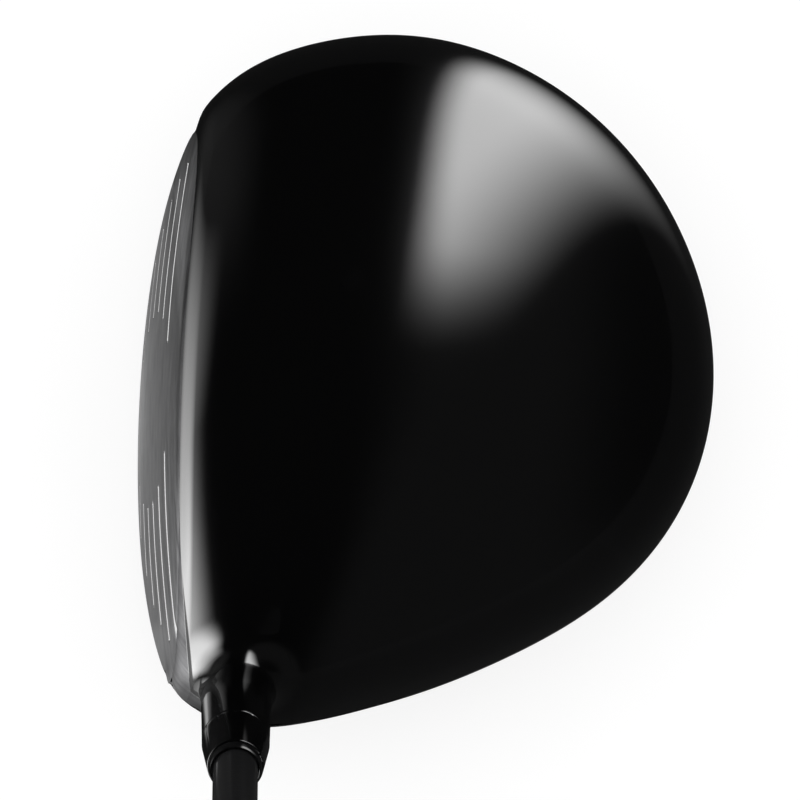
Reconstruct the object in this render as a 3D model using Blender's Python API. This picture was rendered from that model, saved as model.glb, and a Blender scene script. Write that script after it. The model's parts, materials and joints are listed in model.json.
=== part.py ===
# A golf driver: hollow head, adjustable hosel, two sole weights, shaft and grip.
# Sizes are millimetres and degrees in the shaft frame: x to the back, y to the toe, z up,
# 0 where the shaft's axis meets the ground. The shaft leans to the heel (-y), the face looks
# to -x. Meshes are built in metres, with the world origin at ORIGIN of the shaft frame.
# Directions in plan are taken round CENTRE: 0 back, 90 toe, 180 front, 270 heel.

import math

import bmesh
import bpy
import numpy as np
from mathutils import Matrix, Vector

for old in list(bpy.data.objects):
    bpy.data.objects.remove(old, do_unlink=True)

# ---- driving dimensions of the head ----
LIE = 60.0
LOFT = 9.0                            # of the face at its middle
BULGE_R, ROLL_R = 305.0, 280.0        # curvature of the face across and up
FACE_POINT = (-15.8, 23.5, 28.0)      # point of the face where its bulge and roll are zero
FACE_SQUARE = 0.985                   # distance square to the face per distance along x, roughly
CENTRE = (27.0, 34.0)                 # plan centre of the head
LAND_Z = 0.12                         # height of the flat land on the sole
ORIGIN = np.array([*CENTRE, LAND_Z])  # centre of that land

# plane where crown and skirt meet: height at EQUATOR_AT and slopes along x and y
EQUATOR_Z, EQUATOR_AT = 30.4, 30
SLOPE_X, SLOPE_Y = -0.06, 0.10
CROWN_TOP = 62.6
CROWN_POWER, SOLE_POWER = 2.3, 3.6    # how square the two sheets are in section
EDGE_BLEND = 2.2                      # rounding between face and sheets
EDGE_SHIFT = 0.35 * EDGE_BLEND        # how far inside that rounding the face plate ends

# plan radius of the head, {direction: radius}; the face takes up the gap
OUTLINE = {
    0: 60.2, 15: 61.2, 30: 62.1, 45: 63.2, 60: 64.2, 75: 65.1, 90: 65.3, 105: 64.5, 118: 62.8,
    232.5: 66.4, 237: 67.3, 243: 67.5, 249: 65.4, 255: 62.2, 262: 59.3, 272: 56.0,
    284: 53.6, 300: 52.9, 316: 54.6, 332: 57.0, 346: 58.9,
}
# upper and lower edge of the face from toe to heel, {y: height}
TOP_EDGE = {
    82: 47.0, 75: 50.6, 66: 53.9, 55: 55.5, 40: 55.6, 26: 54.9, 12: 53.7, 1: 51.4, -7: 47.6,
}
LEADING_EDGE = {78: 31.0, 70: 18.0, 57: 8.6, 42: 4.8, 27: 4.0, 14: 5.6, 2: 10.5, -6: 15.5}

# outline smoothing: harmonics used, harmonics at full strength, samples round the outline
HARMONICS, FULL_HARMONICS, SAMPLES = 14, 7, 720

# hosel: radius above and at its root, height along the shaft
HOSEL_R, HOSEL_ROOT_R, HOSEL_TOP = 6.2, 6.5, 71.6
ROOT_FROM, ROOT_LENGTH = 68, 20       # where the radius starts to grow downwards, over what length
BLEND_CROWN, BLEND_HEEL = 9.0, 3.0    # size of the run-out into the crown and into the heel
FRONT_SHARE = 0.6                     # how much smaller the run-out is on the face side
# arch where hosel and crown pieces meet: direction, half width, depth from the outline
NECK_AT, NECK_HALF, NECK_DEPTH = 246.0, 9.6, 13.0
NECK_PLAN_R, FACE_PLAN_R = 66.5, 58.0  # plan radii that turn angles into lengths there

# ---- pieces of the head ----
GAP = 0.3                             # left between neighbours
FACE_GAP, NECK_GAP = GAP + 0.1, GAP + 0.15
CROWN_T, SOLE_T, FACE_T, NECK_T = 0.9, 1.0, 2.6, 1.1
FACE_BACK_MARGIN = 2.0                # how far the back of the face plate is drawn in
FACE_END = math.radians(1.0)          # clearance at each end of the face plate
COLUMNS, CROWN_ROWS, SOLE_ROWS, FACE_ROWS = 84, 13, 12, 6
FINE_STEP = math.radians(1.3)         # column spacing at the ends of the face
ARCH_COLUMNS = 13
NECK_COLUMNS, FLARE_ROWS = 44, 4
# tube under the hosel, with a ledge across its bore
BORE_R, TUBE_R, LEDGE, LEDGE_T, SCREW_HOLE_R = 4.9, 5.9, 22.0, 4.0, 2.85

# ---- shaft, by distance along its axis ----
SLEEVE_BORE_FROM, SLEEVE_TOP = 51.2, 84.1
RING_TOP = 84.4
SHAFT_BOTTOM, SHAFT_TOP = SLEEVE_BORE_FROM + 0.6, 1151.0
SHAFT_TIP_R, SHAFT_BUTT_R, SHAFT_WALL = 4.12, 7.6, 1.05
TAPER_FROM, TAPER_TO = SHAFT_BOTTOM + 100.0, SHAFT_TOP - 120
GRIP_MOUTH, GRIP_END, GRIP_MIDDLE = 888.0, 1153.6, 960.0
TAPE_CLEARANCE, TAPE_T, GRIP_CLEARANCE = 0.1, 0.35, 0.15

# ---- weights: plan position of each in the sole ----
WEIGHTS = {"toe": (46.0, 76.0), "heel": (49.0, 3.0)}

SHAFT_AXIS = np.array([0.0, -math.cos(math.radians(LIE)), math.sin(math.radians(LIE))])
TOE_AXIS = np.array([0.0, math.sin(math.radians(LIE)), math.cos(math.radians(LIE))])
BACK_AXIS = np.array([1.0, 0.0, 0.0])

MATERIALS = {
    "gloss_black_lacquer": dict(colour=(0.01, 0.01, 0.012), metallic=0.0, roughness=0.12),
    "brushed_titanium": dict(colour=(0.32, 0.32, 0.33), metallic=1.0, roughness=0.35),
    "satin_titanium": dict(colour=(0.25, 0.25, 0.26), metallic=1.0, roughness=0.3),
    "cast_titanium": dict(colour=(0.3, 0.3, 0.31), metallic=1.0, roughness=0.5),
    "dark_steel": dict(colour=(0.12, 0.12, 0.13), metallic=1.0, roughness=0.3),
    "tungsten_alloy": dict(colour=(0.35, 0.34, 0.33), metallic=1.0, roughness=0.4),
    "anodised_aluminium": dict(colour=(0.03, 0.03, 0.034), metallic=0.6, roughness=0.25),
    "black_plastic": dict(colour=(0.012, 0.012, 0.013), metallic=0.0, roughness=0.25),
    "nylon": dict(colour=(0.6, 0.58, 0.5), metallic=0.0, roughness=0.5),
    "shaft_carbon": dict(colour=(0.02, 0.02, 0.022), metallic=0.1, roughness=0.2),
    "brass": dict(colour=(0.6, 0.42, 0.15), metallic=1.0, roughness=0.35),
    "grip_rubber": dict(colour=(0.02, 0.02, 0.02), metallic=0.0, roughness=0.8),
    "paper_tape": dict(colour=(0.55, 0.5, 0.38), metallic=0.0, roughness=0.9),
}


# ---- shape of the head ----

def equator(x, y):
    """Height of the plane where crown and skirt meet."""
    return EQUATOR_Z + SLOPE_X * (x - EQUATOR_AT) + SLOPE_Y * (y - EQUATOR_AT)


def face_x(y, z):
    x0, y0, z0 = FACE_POINT
    roll = (z - z0) ** 2 / (2 * ROLL_R)
    bulge = (y - y0) ** 2 / (2 * BULGE_R)
    return x0 + math.tan(math.radians(LOFT)) * (z - z0) + roll + bulge


def polar(phi, radius):
    """Plan position at a direction and distance from the head's centre."""
    return CENTRE[0] + radius * np.cos(phi), CENTRE[1] + radius * np.sin(phi)


def periodic_spline(knots):
    """Periodic cubic through {degrees: value}, as a function of radians."""
    knot = np.radians(sorted(knots))
    value = np.array([knots[degrees] for degrees in sorted(knots)], float)
    count = len(knot)
    step = np.diff(np.append(knot, knot[0] + 2 * math.pi))
    matrix = np.zeros((count, count))
    right = np.zeros(count)
    for i in range(count):
        before, after, j = step[i - 1], step[i], (i + 1) % count
        matrix[i, i - 1] += before
        matrix[i, i] += 2 * (before + after)
        matrix[i, j] += after
        right[i] = 6 * ((value[j] - value[i]) / after - (value[i] - value[i - 1]) / before)
    bend = np.linalg.solve(matrix, right)

    def spline(angle):
        angle = np.mod(angle - knot[0], 2 * math.pi) + knot[0]
        i = np.clip(np.searchsorted(knot, angle, side="right") - 1, 0, count - 1)
        j = (i + 1) % count
        past = angle - knot[i]
        ahead = step[i] - past
        return ((bend[i] * ahead ** 3 + bend[j] * past ** 3) / (6 * step[i])
                + (value[i] / step[i] - bend[i] * step[i] / 6) * ahead
                + (value[j] / step[i] - bend[j] * step[i] / 6) * past)
    return spline


class Sheet:
    """Plan shape of one sheet, held as harmonics of 1 / radius squared."""

    def __init__(self, knots):
        angle = np.arange(SAMPLES) * 2 * math.pi / SAMPLES
        harmonics = np.fft.rfft(1 / periodic_spline(knots)(angle) ** 2) / SAMPLES
        order = np.arange(HARMONICS + 1)
        fade = (order - FULL_HARMONICS) / (HARMONICS - FULL_HARMONICS + 1)
        taper = np.where(order <= FULL_HARMONICS, 1.0, np.cos(fade * math.pi / 2) ** 2)
        both_sides = np.r_[1, 2 * np.ones(HARMONICS)]
        self.harmonics = harmonics[: HARMONICS + 1] * both_sides * taper
        # power of the distance each harmonic takes, so that the shape is smooth at the centre
        self.powers = [0, 1, *range(HARMONICS - 1)]

    def square(self, x, y):
        """0 at the centre, 1 on the outline, growing as the square of the distance."""
        shape = np.shape(x)
        dx, dy = np.ravel(x) - CENTRE[0], np.ravel(y) - CENTRE[1]
        distance2 = dx * dx + dy * dy
        turn = (dx + 1j * dy) / np.sqrt(np.maximum(distance2, 1e-12))
        terms = np.empty((HARMONICS + 1, len(turn)))
        wave = np.ones_like(turn)
        for n in range(HARMONICS + 1):
            terms[n] = (self.harmonics[n] * wave).real
            wave = wave * turn
        share = np.minimum(np.sqrt(np.maximum(terms.sum(0), 1e-9) * distance2), 1.0)
        total = np.zeros_like(share)
        for term, power in zip(terms, self.powers):
            total += term * share ** power
        return (distance2 * total).reshape(shape)

    def with_slopes(self, x, y, step=1e-3):
        """(square, its slope along x, its slope along y)"""
        here = self.square(x, y)
        slope_x = (self.square(x + step, y) - here) / step
        slope_y = (self.square(x, y + step) - here) / step
        return here, slope_x, slope_y

    def radius(self, phi):
        order = np.arange(HARMONICS + 1)[:, None]
        waves = self.harmonics[:, None] * np.exp(1j * order * phi[None, :])
        return 1 / np.sqrt(waves.real.sum(0))


def sheet_through(edge, power, height):
    """Sheet whose outline ahead of the face makes it meet the face along the given edge."""
    knots = dict(OUTLINE)
    for y, z in edge.items():
        x = face_x(y, z)
        dx, dy = x - CENTRE[0], y - CENTRE[1]
        share = (1 - height(x, y, z) ** 2) ** (1 / power)
        direction = round(math.degrees(math.atan2(dy, dx)) % 360, 3)
        knots[direction] = math.hypot(dx, dy) / share
    return Sheet(knots)


CROWN_H = CROWN_TOP - equator(*CENTRE)
CROWN = sheet_through(TOP_EDGE, CROWN_POWER, lambda x, y, z: (z - equator(x, y)) / CROWN_H)
SOLE = sheet_through(LEADING_EDGE, SOLE_POWER, lambda x, y, z: 1 - z / equator(x, y))


def sheet_distance(plan, power, height, height_slopes):
    """Distance outside a sheet: its level divided by the level's gradient."""
    square, slope_x, slope_y = plan
    square = np.maximum(square, 1e-9)
    level = square ** (power / 2) + height * height - 1
    steep = power / 2 * square ** (power / 2 - 1)
    height_x, height_y, height_z = height_slopes
    gradient = np.sqrt((steep * slope_x + 2 * height * height_x) ** 2
                       + (steep * slope_y + 2 * height * height_y) ** 2
                       + (2 * height * height_z) ** 2)
    return level / np.maximum(gradient, 1e-4)


def rounding(a, b, size):
    """What rounds the corner where distances a and b are equal."""
    near = np.maximum(size - np.abs(a - b), 0) / size
    return near * near * size / 4


def shaft_coords(x, y, z):
    """(cosine of the direction round the axis, distance from it, distance along it)"""
    toeward = y * TOE_AXIS[1] + z * TOE_AXIS[2]
    radius = np.sqrt(x * x + toeward * toeward)
    along = y * SHAFT_AXIS[1] + z * SHAFT_AXIS[2]
    return toeward / np.maximum(radius, 1e-9), radius, along


class Column:
    """The sheets at plan positions x, y, so that several heights are tried cheaply."""

    def __init__(self, x, y):
        self.x, self.y = np.asarray(x, float), np.asarray(y, float)
        self.equator = equator(self.x, self.y)
        self.crown = CROWN.with_slopes(self.x, self.y)
        self.sole = SOLE.with_slopes(self.x, self.y)

    def parts(self, z):
        """(distance outside the two sheets, distance ahead of the face)"""
        middle = self.equator
        crown = sheet_distance(self.crown, CROWN_POWER, (z - middle) / CROWN_H,
                               (-SLOPE_X / CROWN_H, -SLOPE_Y / CROWN_H, 1 / CROWN_H))
        sole = sheet_distance(self.sole, SOLE_POWER, 1 - z / middle,
                              (z * SLOPE_X / middle ** 2, z * SLOPE_Y / middle ** 2, -1 / middle))
        sheets = np.clip(np.where(z >= middle, crown, sole), -40, 40)
        return sheets, (face_x(self.y, z) - self.x) * FACE_SQUARE

    def body(self, z):
        """Below 0 inside the head without its hosel."""
        sheets, ahead = self.parts(z)
        return np.maximum(sheets, ahead) + rounding(sheets, ahead, EDGE_BLEND)

    def field(self, z):
        """Below 0 inside the head and hosel."""
        body = self.body(z)
        toeward, radius, along = shaft_coords(self.x, self.y, z)
        root_share = np.clip((ROOT_FROM - along) / ROOT_LENGTH, 0, 1)
        hosel = radius - HOSEL_R - (HOSEL_ROOT_R - HOSEL_R) * root_share
        blend = BLEND_HEEL + (BLEND_CROWN - BLEND_HEEL) * (0.5 + 0.5 * toeward) ** 1.5
        forward = np.clip(-self.x / np.maximum(radius, 1e-9), 0, 1)
        blend = blend * (1 - FRONT_SHARE * forward)
        return np.minimum(body, hosel) - rounding(body, hosel, blend)


def distance_at(points, distance):
    """Column.body or Column.field at points."""
    return distance(Column(points[..., 0], points[..., 1]), points[..., 2])


def normals_at(points, distance, step=2e-3):
    gradient = np.stack([distance_at(points + step * axis, distance)
                         - distance_at(points - step * axis, distance)
                         for axis in np.eye(3)], -1)
    length = np.linalg.norm(gradient, axis=-1, keepdims=True)
    return gradient / np.maximum(length, 1e-12)


def inset(points, thickness, distance):
    return points - thickness * normals_at(points, distance)


def root(function, inner, outer, steps=30):
    """Where the function, below 0 at inner and above 0 at outer, crosses 0."""
    inner, outer = np.array(inner, float), np.array(outer, float)
    for _ in range(steps):
        middle = (inner + outer) / 2
        inside = function(middle) < 0
        inner = np.where(inside, middle, inner)
        outer = np.where(inside, outer, middle)
    return (inner + outer) / 2


def crown_z(x, y):
    """Height of the upper surface, hosel included."""
    column = Column(x, y)
    return root(column.field, column.equator - 1.5, column.equator + CROWN_H + 6)


def sole_z(x, y, start=None):
    """Height of the underside, looked for downwards from a height inside the head."""
    column = Column(x, y)
    if start is None:
        start = column.equator + 1.5
    start = np.broadcast_to(start, np.shape(x))
    return -root(lambda depth: column.body(-depth), -start, np.full(np.shape(x), 1.0))


def side_r(phi, z):
    """Plan radius of the body at directions phi and heights z."""
    def outside(radius):
        return Column(*polar(phi, radius)).body(z)
    return root(outside, np.full(np.shape(z), 5.0), np.full(np.shape(z), 95.0), 34)


def equator_height(phi):
    """Height at which the side of the body crosses the equator plane."""
    radius = np.full(np.shape(phi), 60.0)
    for _ in range(12):
        radius = side_r(phi, equator(*polar(phi, radius)))
    return equator(*polar(phi, radius))


# ---- edges between the pieces of the head ----

def face_limits(phi, count=260):
    """For each direction: heights of the face's top and lower edge, nan where it has no face."""
    z = np.linspace(1.0, 60.0, count)
    phi_grid, z_grid = np.meshgrid(phi, z, indexing="ij")
    radius = side_r(phi_grid, z_grid)
    sheets, ahead = Column(*polar(phi_grid, radius)).parts(z_grid)
    margin = ahead - sheets - EDGE_SHIFT
    top, low = np.full(len(phi), np.nan), np.full(len(phi), np.nan)
    for i in range(len(phi)):
        on = np.flatnonzero(margin[i] > 0)
        if len(on) < 3:
            continue
        for edge, last, beyond in ((top, on[-1], on[-1] + 1), (low, on[0], on[0] - 1)):
            share = margin[i, last] / (margin[i, last] - margin[i, beyond])
            edge[i] = z[last] + share * (z[beyond] - z[last])
    return top, low


def face_span():
    """Directions between which the face is at least 5 mm high."""
    phi = np.radians(np.linspace(118, 242, 249))
    top, low = face_limits(phi, count=120)
    tall = np.flatnonzero(np.nan_to_num(top - low) > 5.0)
    return phi[tall[0]], phi[tall[-1]]


FACE_SPAN = face_span()


def neck_span():
    """Directions of the two ends of the arch."""
    half = NECK_HALF / NECK_PLAN_R
    return math.radians(NECK_AT) - half, math.radians(NECK_AT) + half


def neck_arch(x, y):
    """Below 0 in the plan of the hosel piece, in about millimetres from the arch."""
    dx, dy = x - CENTRE[0], y - CENTRE[1]
    radius, phi = np.hypot(dx, dy), np.arctan2(dy, dx)
    off = (phi - math.radians(NECK_AT) + math.pi) % (2 * math.pi) - math.pi
    rim = CROWN.radius(phi.ravel()).reshape(phi.shape)
    across, deep = off * NECK_PLAN_R / NECK_HALF, (rim - radius) / NECK_DEPTH
    return (np.hypot(across, deep) - 1) * NECK_HALF


def outer_edge(phi, offset, face_edge):
    """(plan radius, height) at an offset from the equator, or along the face's edge:
    0 for its top edge, 1 for its lower edge."""
    on_face = (phi >= FACE_SPAN[0]) & (phi <= FACE_SPAN[1])
    z = equator_height(phi) + offset
    z[on_face] = face_limits(phi[on_face])[face_edge]
    return side_r(phi, z), z


def crown_edge(phi):
    """(plan radius, height) of the crown piece's edge, cut back round the hosel piece."""
    radius, z = outer_edge(phi, GAP / 2, 0)
    start, end = neck_span()
    share = ((phi - start) / (end - start) * 2 - 1) * (1 - GAP / 2 / NECK_HALF)
    near = np.flatnonzero(abs(share) < 1)
    depth = (NECK_DEPTH + GAP / 2) * np.sqrt(1 - share[near] ** 2)
    arch = CROWN.radius(phi[near]) - depth
    cut_back = arch < radius[near] - 0.02
    near, arch = near[cut_back], arch[cut_back]
    radius[near] = arch
    z[near] = crown_z(*polar(phi[near], arch))
    return radius, z


def plan_columns():
    """Directions of the head's columns, set closer at the ends of the face and on the arch."""
    phi = np.arange(COLUMNS) * 2 * math.pi / COLUMNS
    for edge, inward in zip(FACE_SPAN, (1, -1)):
        near = edge + inward * FINE_STEP * np.array([-1.0, 0.0, 1.0, 2.2])
        clear = FINE_STEP * 0.6
        phi = phi[(phi < near.min() - clear) | (phi > near.max() + clear)]
        phi = np.sort(np.concatenate([phi, near]))
    start, end = neck_span()
    turn = np.linspace(0, math.pi, ARCH_COLUMNS)
    arch = (start + end) / 2 - (end - start) / 2 * np.cos(turn)
    phi = phi[(phi < start - FINE_STEP * 0.5) | (phi > end + FINE_STEP * 0.5)]
    return np.sort(np.concatenate([phi, arch]))


# ---- grids of points, rows x columns x 3 ----

def plan_grid(phi, edge_radius, rows):
    """Plan positions from the centre out to the edge, with rows closer towards the edge."""
    share = np.sin(np.linspace(0, 1, rows + 1) * math.pi / 2) ** 1.05
    return polar(phi[None, :], share[:, None] * edge_radius[None, :])


def crown_grid(phi):
    radius, edge_z = crown_edge(phi)
    x, y = plan_grid(phi, radius, CROWN_ROWS)
    z = crown_z(x, y)
    z[-1] = edge_z
    return np.stack([x, y, z], -1)


def sole_grid(phi):
    radius, edge_z = outer_edge(phi, -GAP / 2, 1)
    x, y = plan_grid(phi, radius, SOLE_ROWS)
    z = sole_z(x, y, edge_z[None, :])
    z[-1] = edge_z
    return np.stack([x, y, np.maximum(z, LAND_Z)], -1)


def face_grid(phi, margin=0.0):
    """Points of the face from its top edge down, drawn in by a margin all round."""
    start, end = FACE_SPAN
    clear = FACE_END + margin / FACE_PLAN_R
    phi = phi[(phi >= start) & (phi <= end)]
    phi = start + clear + (phi - phi[0]) * (end - start - 2 * clear) / (phi[-1] - phi[0])
    top, low = face_limits(phi)
    # where an edge climbs, more height is taken off for the same gap
    cut_top, cut_low = (
        np.minimum(FACE_GAP * np.hypot(1, np.gradient(edge, phi) / FACE_PLAN_R) + margin,
                   (top - low) * 0.3)
        for edge in (top, low))
    share = np.linspace(0, 1, FACE_ROWS + 1)[:, None]
    z = (top - cut_top)[None, :] * (1 - share) + (low + cut_low)[None, :] * share
    phi_grid = np.broadcast_to(phi[None, :], z.shape)
    x, y = polar(phi_grid, side_r(phi_grid, z))
    return np.stack([x, y, z], -1)


def shaft_point(psi, radius, along):
    """Point at direction psi round the axis (0 to the toe, 90 degrees to the back)."""
    psi, radius, along = np.broadcast_arrays(psi, radius, along)
    return ((radius * np.cos(psi))[..., None] * TOE_AXIS
            + (radius * np.sin(psi))[..., None] * BACK_AXIS
            + along[..., None] * SHAFT_AXIS)


def neck_surface(psi, radius):
    """Points of the outer surface at direction psi and distance radius from the axis."""
    def outside(along):
        return distance_at(shaft_point(psi, radius, along), Column.field)
    shape = np.shape(psi * radius)
    along = root(outside, np.full(shape, 24.0), np.full(shape, 75.0), 32)
    return shaft_point(psi, radius, along)


def neck_reach(psi):
    """How far the hosel piece goes from the axis, limited by the arch and the equator."""
    def beyond(radius):
        points = neck_surface(psi, radius)
        x, y, z = points[..., 0], points[..., 1], points[..., 2]
        over = neck_arch(x, y) + NECK_GAP / 2
        under = equator(x, y) + NECK_GAP / 2 - z
        return np.maximum(over, under)
    return root(beyond, np.full(len(psi), HOSEL_ROOT_R + 0.12), np.full(len(psi), 15.0), 26)


def neck_columns():
    """Directions round the shaft, with one at each corner where the arch meets the outline."""
    psi = np.arange(NECK_COLUMNS) * 2 * math.pi / NECK_COLUMNS
    for end in neck_span():
        phi = np.array([end])
        z = equator_height(phi)
        x, y = polar(phi, side_r(phi, z))
        toeward = y[0] * TOE_AXIS[1] + z[0] * TOE_AXIS[2]
        corner = math.atan2(x[0], toeward) % (2 * math.pi)
        psi[np.argmin(abs(psi - corner))] = corner
    return psi


def flare_outside(psi):
    """Rows from the hosel's root out to the edge of its piece."""
    reach = neck_reach(psi)
    rows = []
    for share in np.linspace(0, 1, FLARE_ROWS + 1) ** 1.5:
        radius = (HOSEL_R + 0.1 + (HOSEL_ROOT_R - HOSEL_R) * min(1, share * 6)
                  + share * (reach - HOSEL_ROOT_R - 0.1))
        rows.append(neck_surface(psi, radius))
    return rows


def flare_inside(outside):
    """Rows under the flare, from its edge back in, kept outside the tube."""
    rows = []
    for i, row in enumerate(outside[:0:-1]):
        points = inset(row, NECK_T, Column.field)
        _, radius, along = shaft_coords(points[..., 0], points[..., 1], points[..., 2])
        kept = np.maximum(radius, TUBE_R + 0.02 * (len(outside) - i))
        from_axis = points - along[:, None] * SHAFT_AXIS
        rows.append(points + (kept - radius)[:, None] * from_axis / radius[:, None])
    return rows


def tube_end(psi, radius):
    """Row where the tube stops, just above the sole piece."""
    clearance = SOLE_T * 1.25 + GAP + 0.35

    def too_low(depth):
        points = shaft_point(psi, radius, -depth)
        return (sole_z(points[..., 0], points[..., 1]) + clearance) - points[..., 2]
    depth = root(too_low, np.full(len(psi), -30.0), np.full(len(psi), 0.0), 24)
    return shaft_point(psi, radius, -depth)


def neck_grid():
    """Closed section: top rim, outside, under the flare, down the tube and up the bore."""
    psi = neck_columns()
    rim = [(BORE_R + 0.5, HOSEL_TOP), (HOSEL_R - 0.35, HOSEL_TOP), (HOSEL_R, HOSEL_TOP - 0.35)]
    bore = [(BORE_R, LEDGE), (SCREW_HOLE_R, LEDGE), (SCREW_HOLE_R, LEDGE + LEDGE_T),
            (BORE_R, LEDGE + LEDGE_T), (BORE_R, HOSEL_TOP - 0.5)]
    outside = flare_outside(psi)
    rows = [shaft_point(psi, radius, along) for radius, along in rim]
    rows += outside + flare_inside(outside)
    rows += [tube_end(psi, TUBE_R), tube_end(psi, BORE_R)]
    rows += [shaft_point(psi, radius, along) for radius, along in bore]
    return np.stack(rows)


# ---- meshes: (vertices, faces) ----

def dome_shell(outer, inner):
    """Closed shell from two polar grids, each with its pole in row 0."""
    rows, columns = outer.shape[:2]
    verts, faces, starts = [], [], []
    for grid in (outer, inner):
        starts.append(len(verts))
        verts.append(grid[0, 0])
        verts.extend(grid[1:].reshape(-1, 3))

    def at(start, row, column):
        return start + 1 + (row - 1) * columns + column % columns

    for start, order in zip(starts, (1, -1)):
        for i in range(columns):
            faces.append((start, at(start, 1, i), at(start, 1, i + 1))[::order])
            for j in range(1, rows - 1):
                quad = (at(start, j, i), at(start, j + 1, i),
                        at(start, j + 1, i + 1), at(start, j, i + 1))
                faces.append(quad[::order])
    outer_start, inner_start = starts
    last = rows - 1
    for i in range(columns):
        faces.append((at(outer_start, last, i), at(inner_start, last, i),
                      at(inner_start, last, i + 1), at(outer_start, last, i + 1)))
    return verts, faces


def plate(outer, inner):
    """Closed plate from two grids."""
    rows, columns = outer.shape[:2]
    verts = [*outer.reshape(-1, 3), *inner.reshape(-1, 3)]
    count = rows * columns
    faces = []
    for j in range(rows - 1):
        for i in range(columns - 1):
            corner = j * columns + i
            quad = (corner, corner + columns, corner + columns + 1, corner + 1)
            faces.append(quad)
            faces.append(tuple(count + quad[k] for k in (0, 3, 2, 1)))
    rim = list(range(columns))
    rim += [j * columns + columns - 1 for j in range(1, rows)]
    rim += [(rows - 1) * columns + i for i in range(columns - 2, -1, -1)]
    rim += [j * columns for j in range(rows - 2, 0, -1)]
    for a, b in zip(rim, rim[1:] + rim[:1]):
        faces.append((a, b, count + b, count + a))
    return verts, faces


def closed_tube(grid):
    """Closed ring-shaped solid from a grid that joins up both ways."""
    rows, columns = grid.shape[:2]
    faces = []
    for j in range(rows):
        below = (j + 1) % rows
        for i in range(columns):
            beside = (i + 1) % columns
            faces.append((j * columns + i, j * columns + beside,
                          below * columns + beside, below * columns + i))
    return grid.reshape(-1, 3), faces


def lathe_mesh(profile, sides, radius_of=None):
    """Closed polygon of (radius, height) turned round local z. Radius 0 makes a pole.
    radius_of(row, radius, side) may change the radius of single vertices."""
    verts, rings = [], []
    for row, (radius, height) in enumerate(profile):
        if radius < 1e-9:
            rings.append([len(verts)])
            verts.append((0, 0, height))
            continue
        rings.append(list(range(len(verts), len(verts) + sides)))
        for i in range(sides):
            angle = 2 * math.pi * i / sides
            used = radius_of(row, radius, i) if radius_of else radius
            verts.append((used * math.cos(angle), used * math.sin(angle), height))
    faces = []
    for a, b in zip(rings, rings[1:] + rings[:1]):
        if len(a) == 1 and len(b) == 1:
            continue
        for i in range(sides):
            j = (i + 1) % sides
            if len(a) == 1:
                faces.append((a[0], b[i], b[j]))
            elif len(b) == 1:
                faces.append((a[i], a[j], b[0]))
            else:
                faces.append((a[i], a[j], b[j], b[i]))
    return verts, faces


# ---- objects ----

def make_material(name, colour, metallic, roughness):
    made = bpy.data.materials.new(name)
    made.use_nodes = True
    inputs = made.node_tree.nodes["Principled BSDF"].inputs
    inputs["Base Color"].default_value = (*colour, 1)
    inputs["Metallic"].default_value = metallic
    inputs["Roughness"].default_value = roughness
    return made


LOOKS = {name: make_material(name, **values) for name, values in MATERIALS.items()}


def mesh_object(name, verts, faces, look, matrix=None):
    """Object from vertices in millimetres, with its normals outwards."""
    mesh = bpy.data.meshes.new(name)
    mesh.from_pydata([tuple(v) for v in np.asarray(verts) / 1000.0], [],
                     [tuple(int(i) for i in face) for face in faces])
    mesh.validate()
    bm = bmesh.new()
    bm.from_mesh(mesh)
    bmesh.ops.recalc_face_normals(bm, faces=bm.faces)
    if bm.calc_volume(signed=True) < 0:
        bmesh.ops.reverse_faces(bm, faces=bm.faces)
    bm.to_mesh(mesh)
    bm.free()
    made = bpy.data.objects.new(name, mesh)
    bpy.context.scene.collection.objects.link(made)
    mesh.materials.append(LOOKS[look])
    for polygon in mesh.polygons:
        polygon.use_smooth = True
    mesh.set_sharp_from_angle(angle=math.radians(35))
    if matrix is not None:
        made.matrix_world = matrix
    return made


def head_object(name, shell, look):
    """Object from a (vertices, faces) mesh in the shaft frame."""
    verts, faces = shell
    return mesh_object(name, np.array(verts) - ORIGIN, faces, look)


def frame_on(point, axis):
    """Matrix that puts local z along the axis and local origin at a point of the shaft frame."""
    z = Vector(axis).normalized()
    x = Vector((1, 0, 0)) - z * z.x
    x.normalize()
    y = z.cross(x)
    matrix = Matrix((x, y, z)).transposed().to_4x4()
    matrix.translation = Vector((np.asarray(point) - ORIGIN) / 1000.0)
    return matrix


# local z is the distance along the shaft's axis
SHAFT_FRAME = frame_on(np.zeros(3), SHAFT_AXIS)


def lathe(name, profile, look, matrix=SHAFT_FRAME, sides=32, radius_of=None):
    verts, faces = lathe_mesh(profile, sides, radius_of)
    return mesh_object(name, verts, faces, look, matrix)


def collar(inner, outer, bottom, top):
    """Profile of a plain ring, or of a rod where inner is 0."""
    return [(inner, bottom), (outer, bottom), (outer, top), (inner, top)]


def cut_round(target, name, radius, bottom, top, matrix, sides):
    """Opening cut by a round rod, which stays as a hidden helper."""
    cutter = lathe(name, collar(0, radius, bottom, top), "cast_titanium", matrix, sides)
    cutter.hide_render = True
    cutter.display_type = "WIRE"
    opening = target.modifiers.new("Opening", "BOOLEAN")
    opening.operation = "DIFFERENCE"
    opening.solver = "EXACT"
    opening.object = cutter


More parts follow.
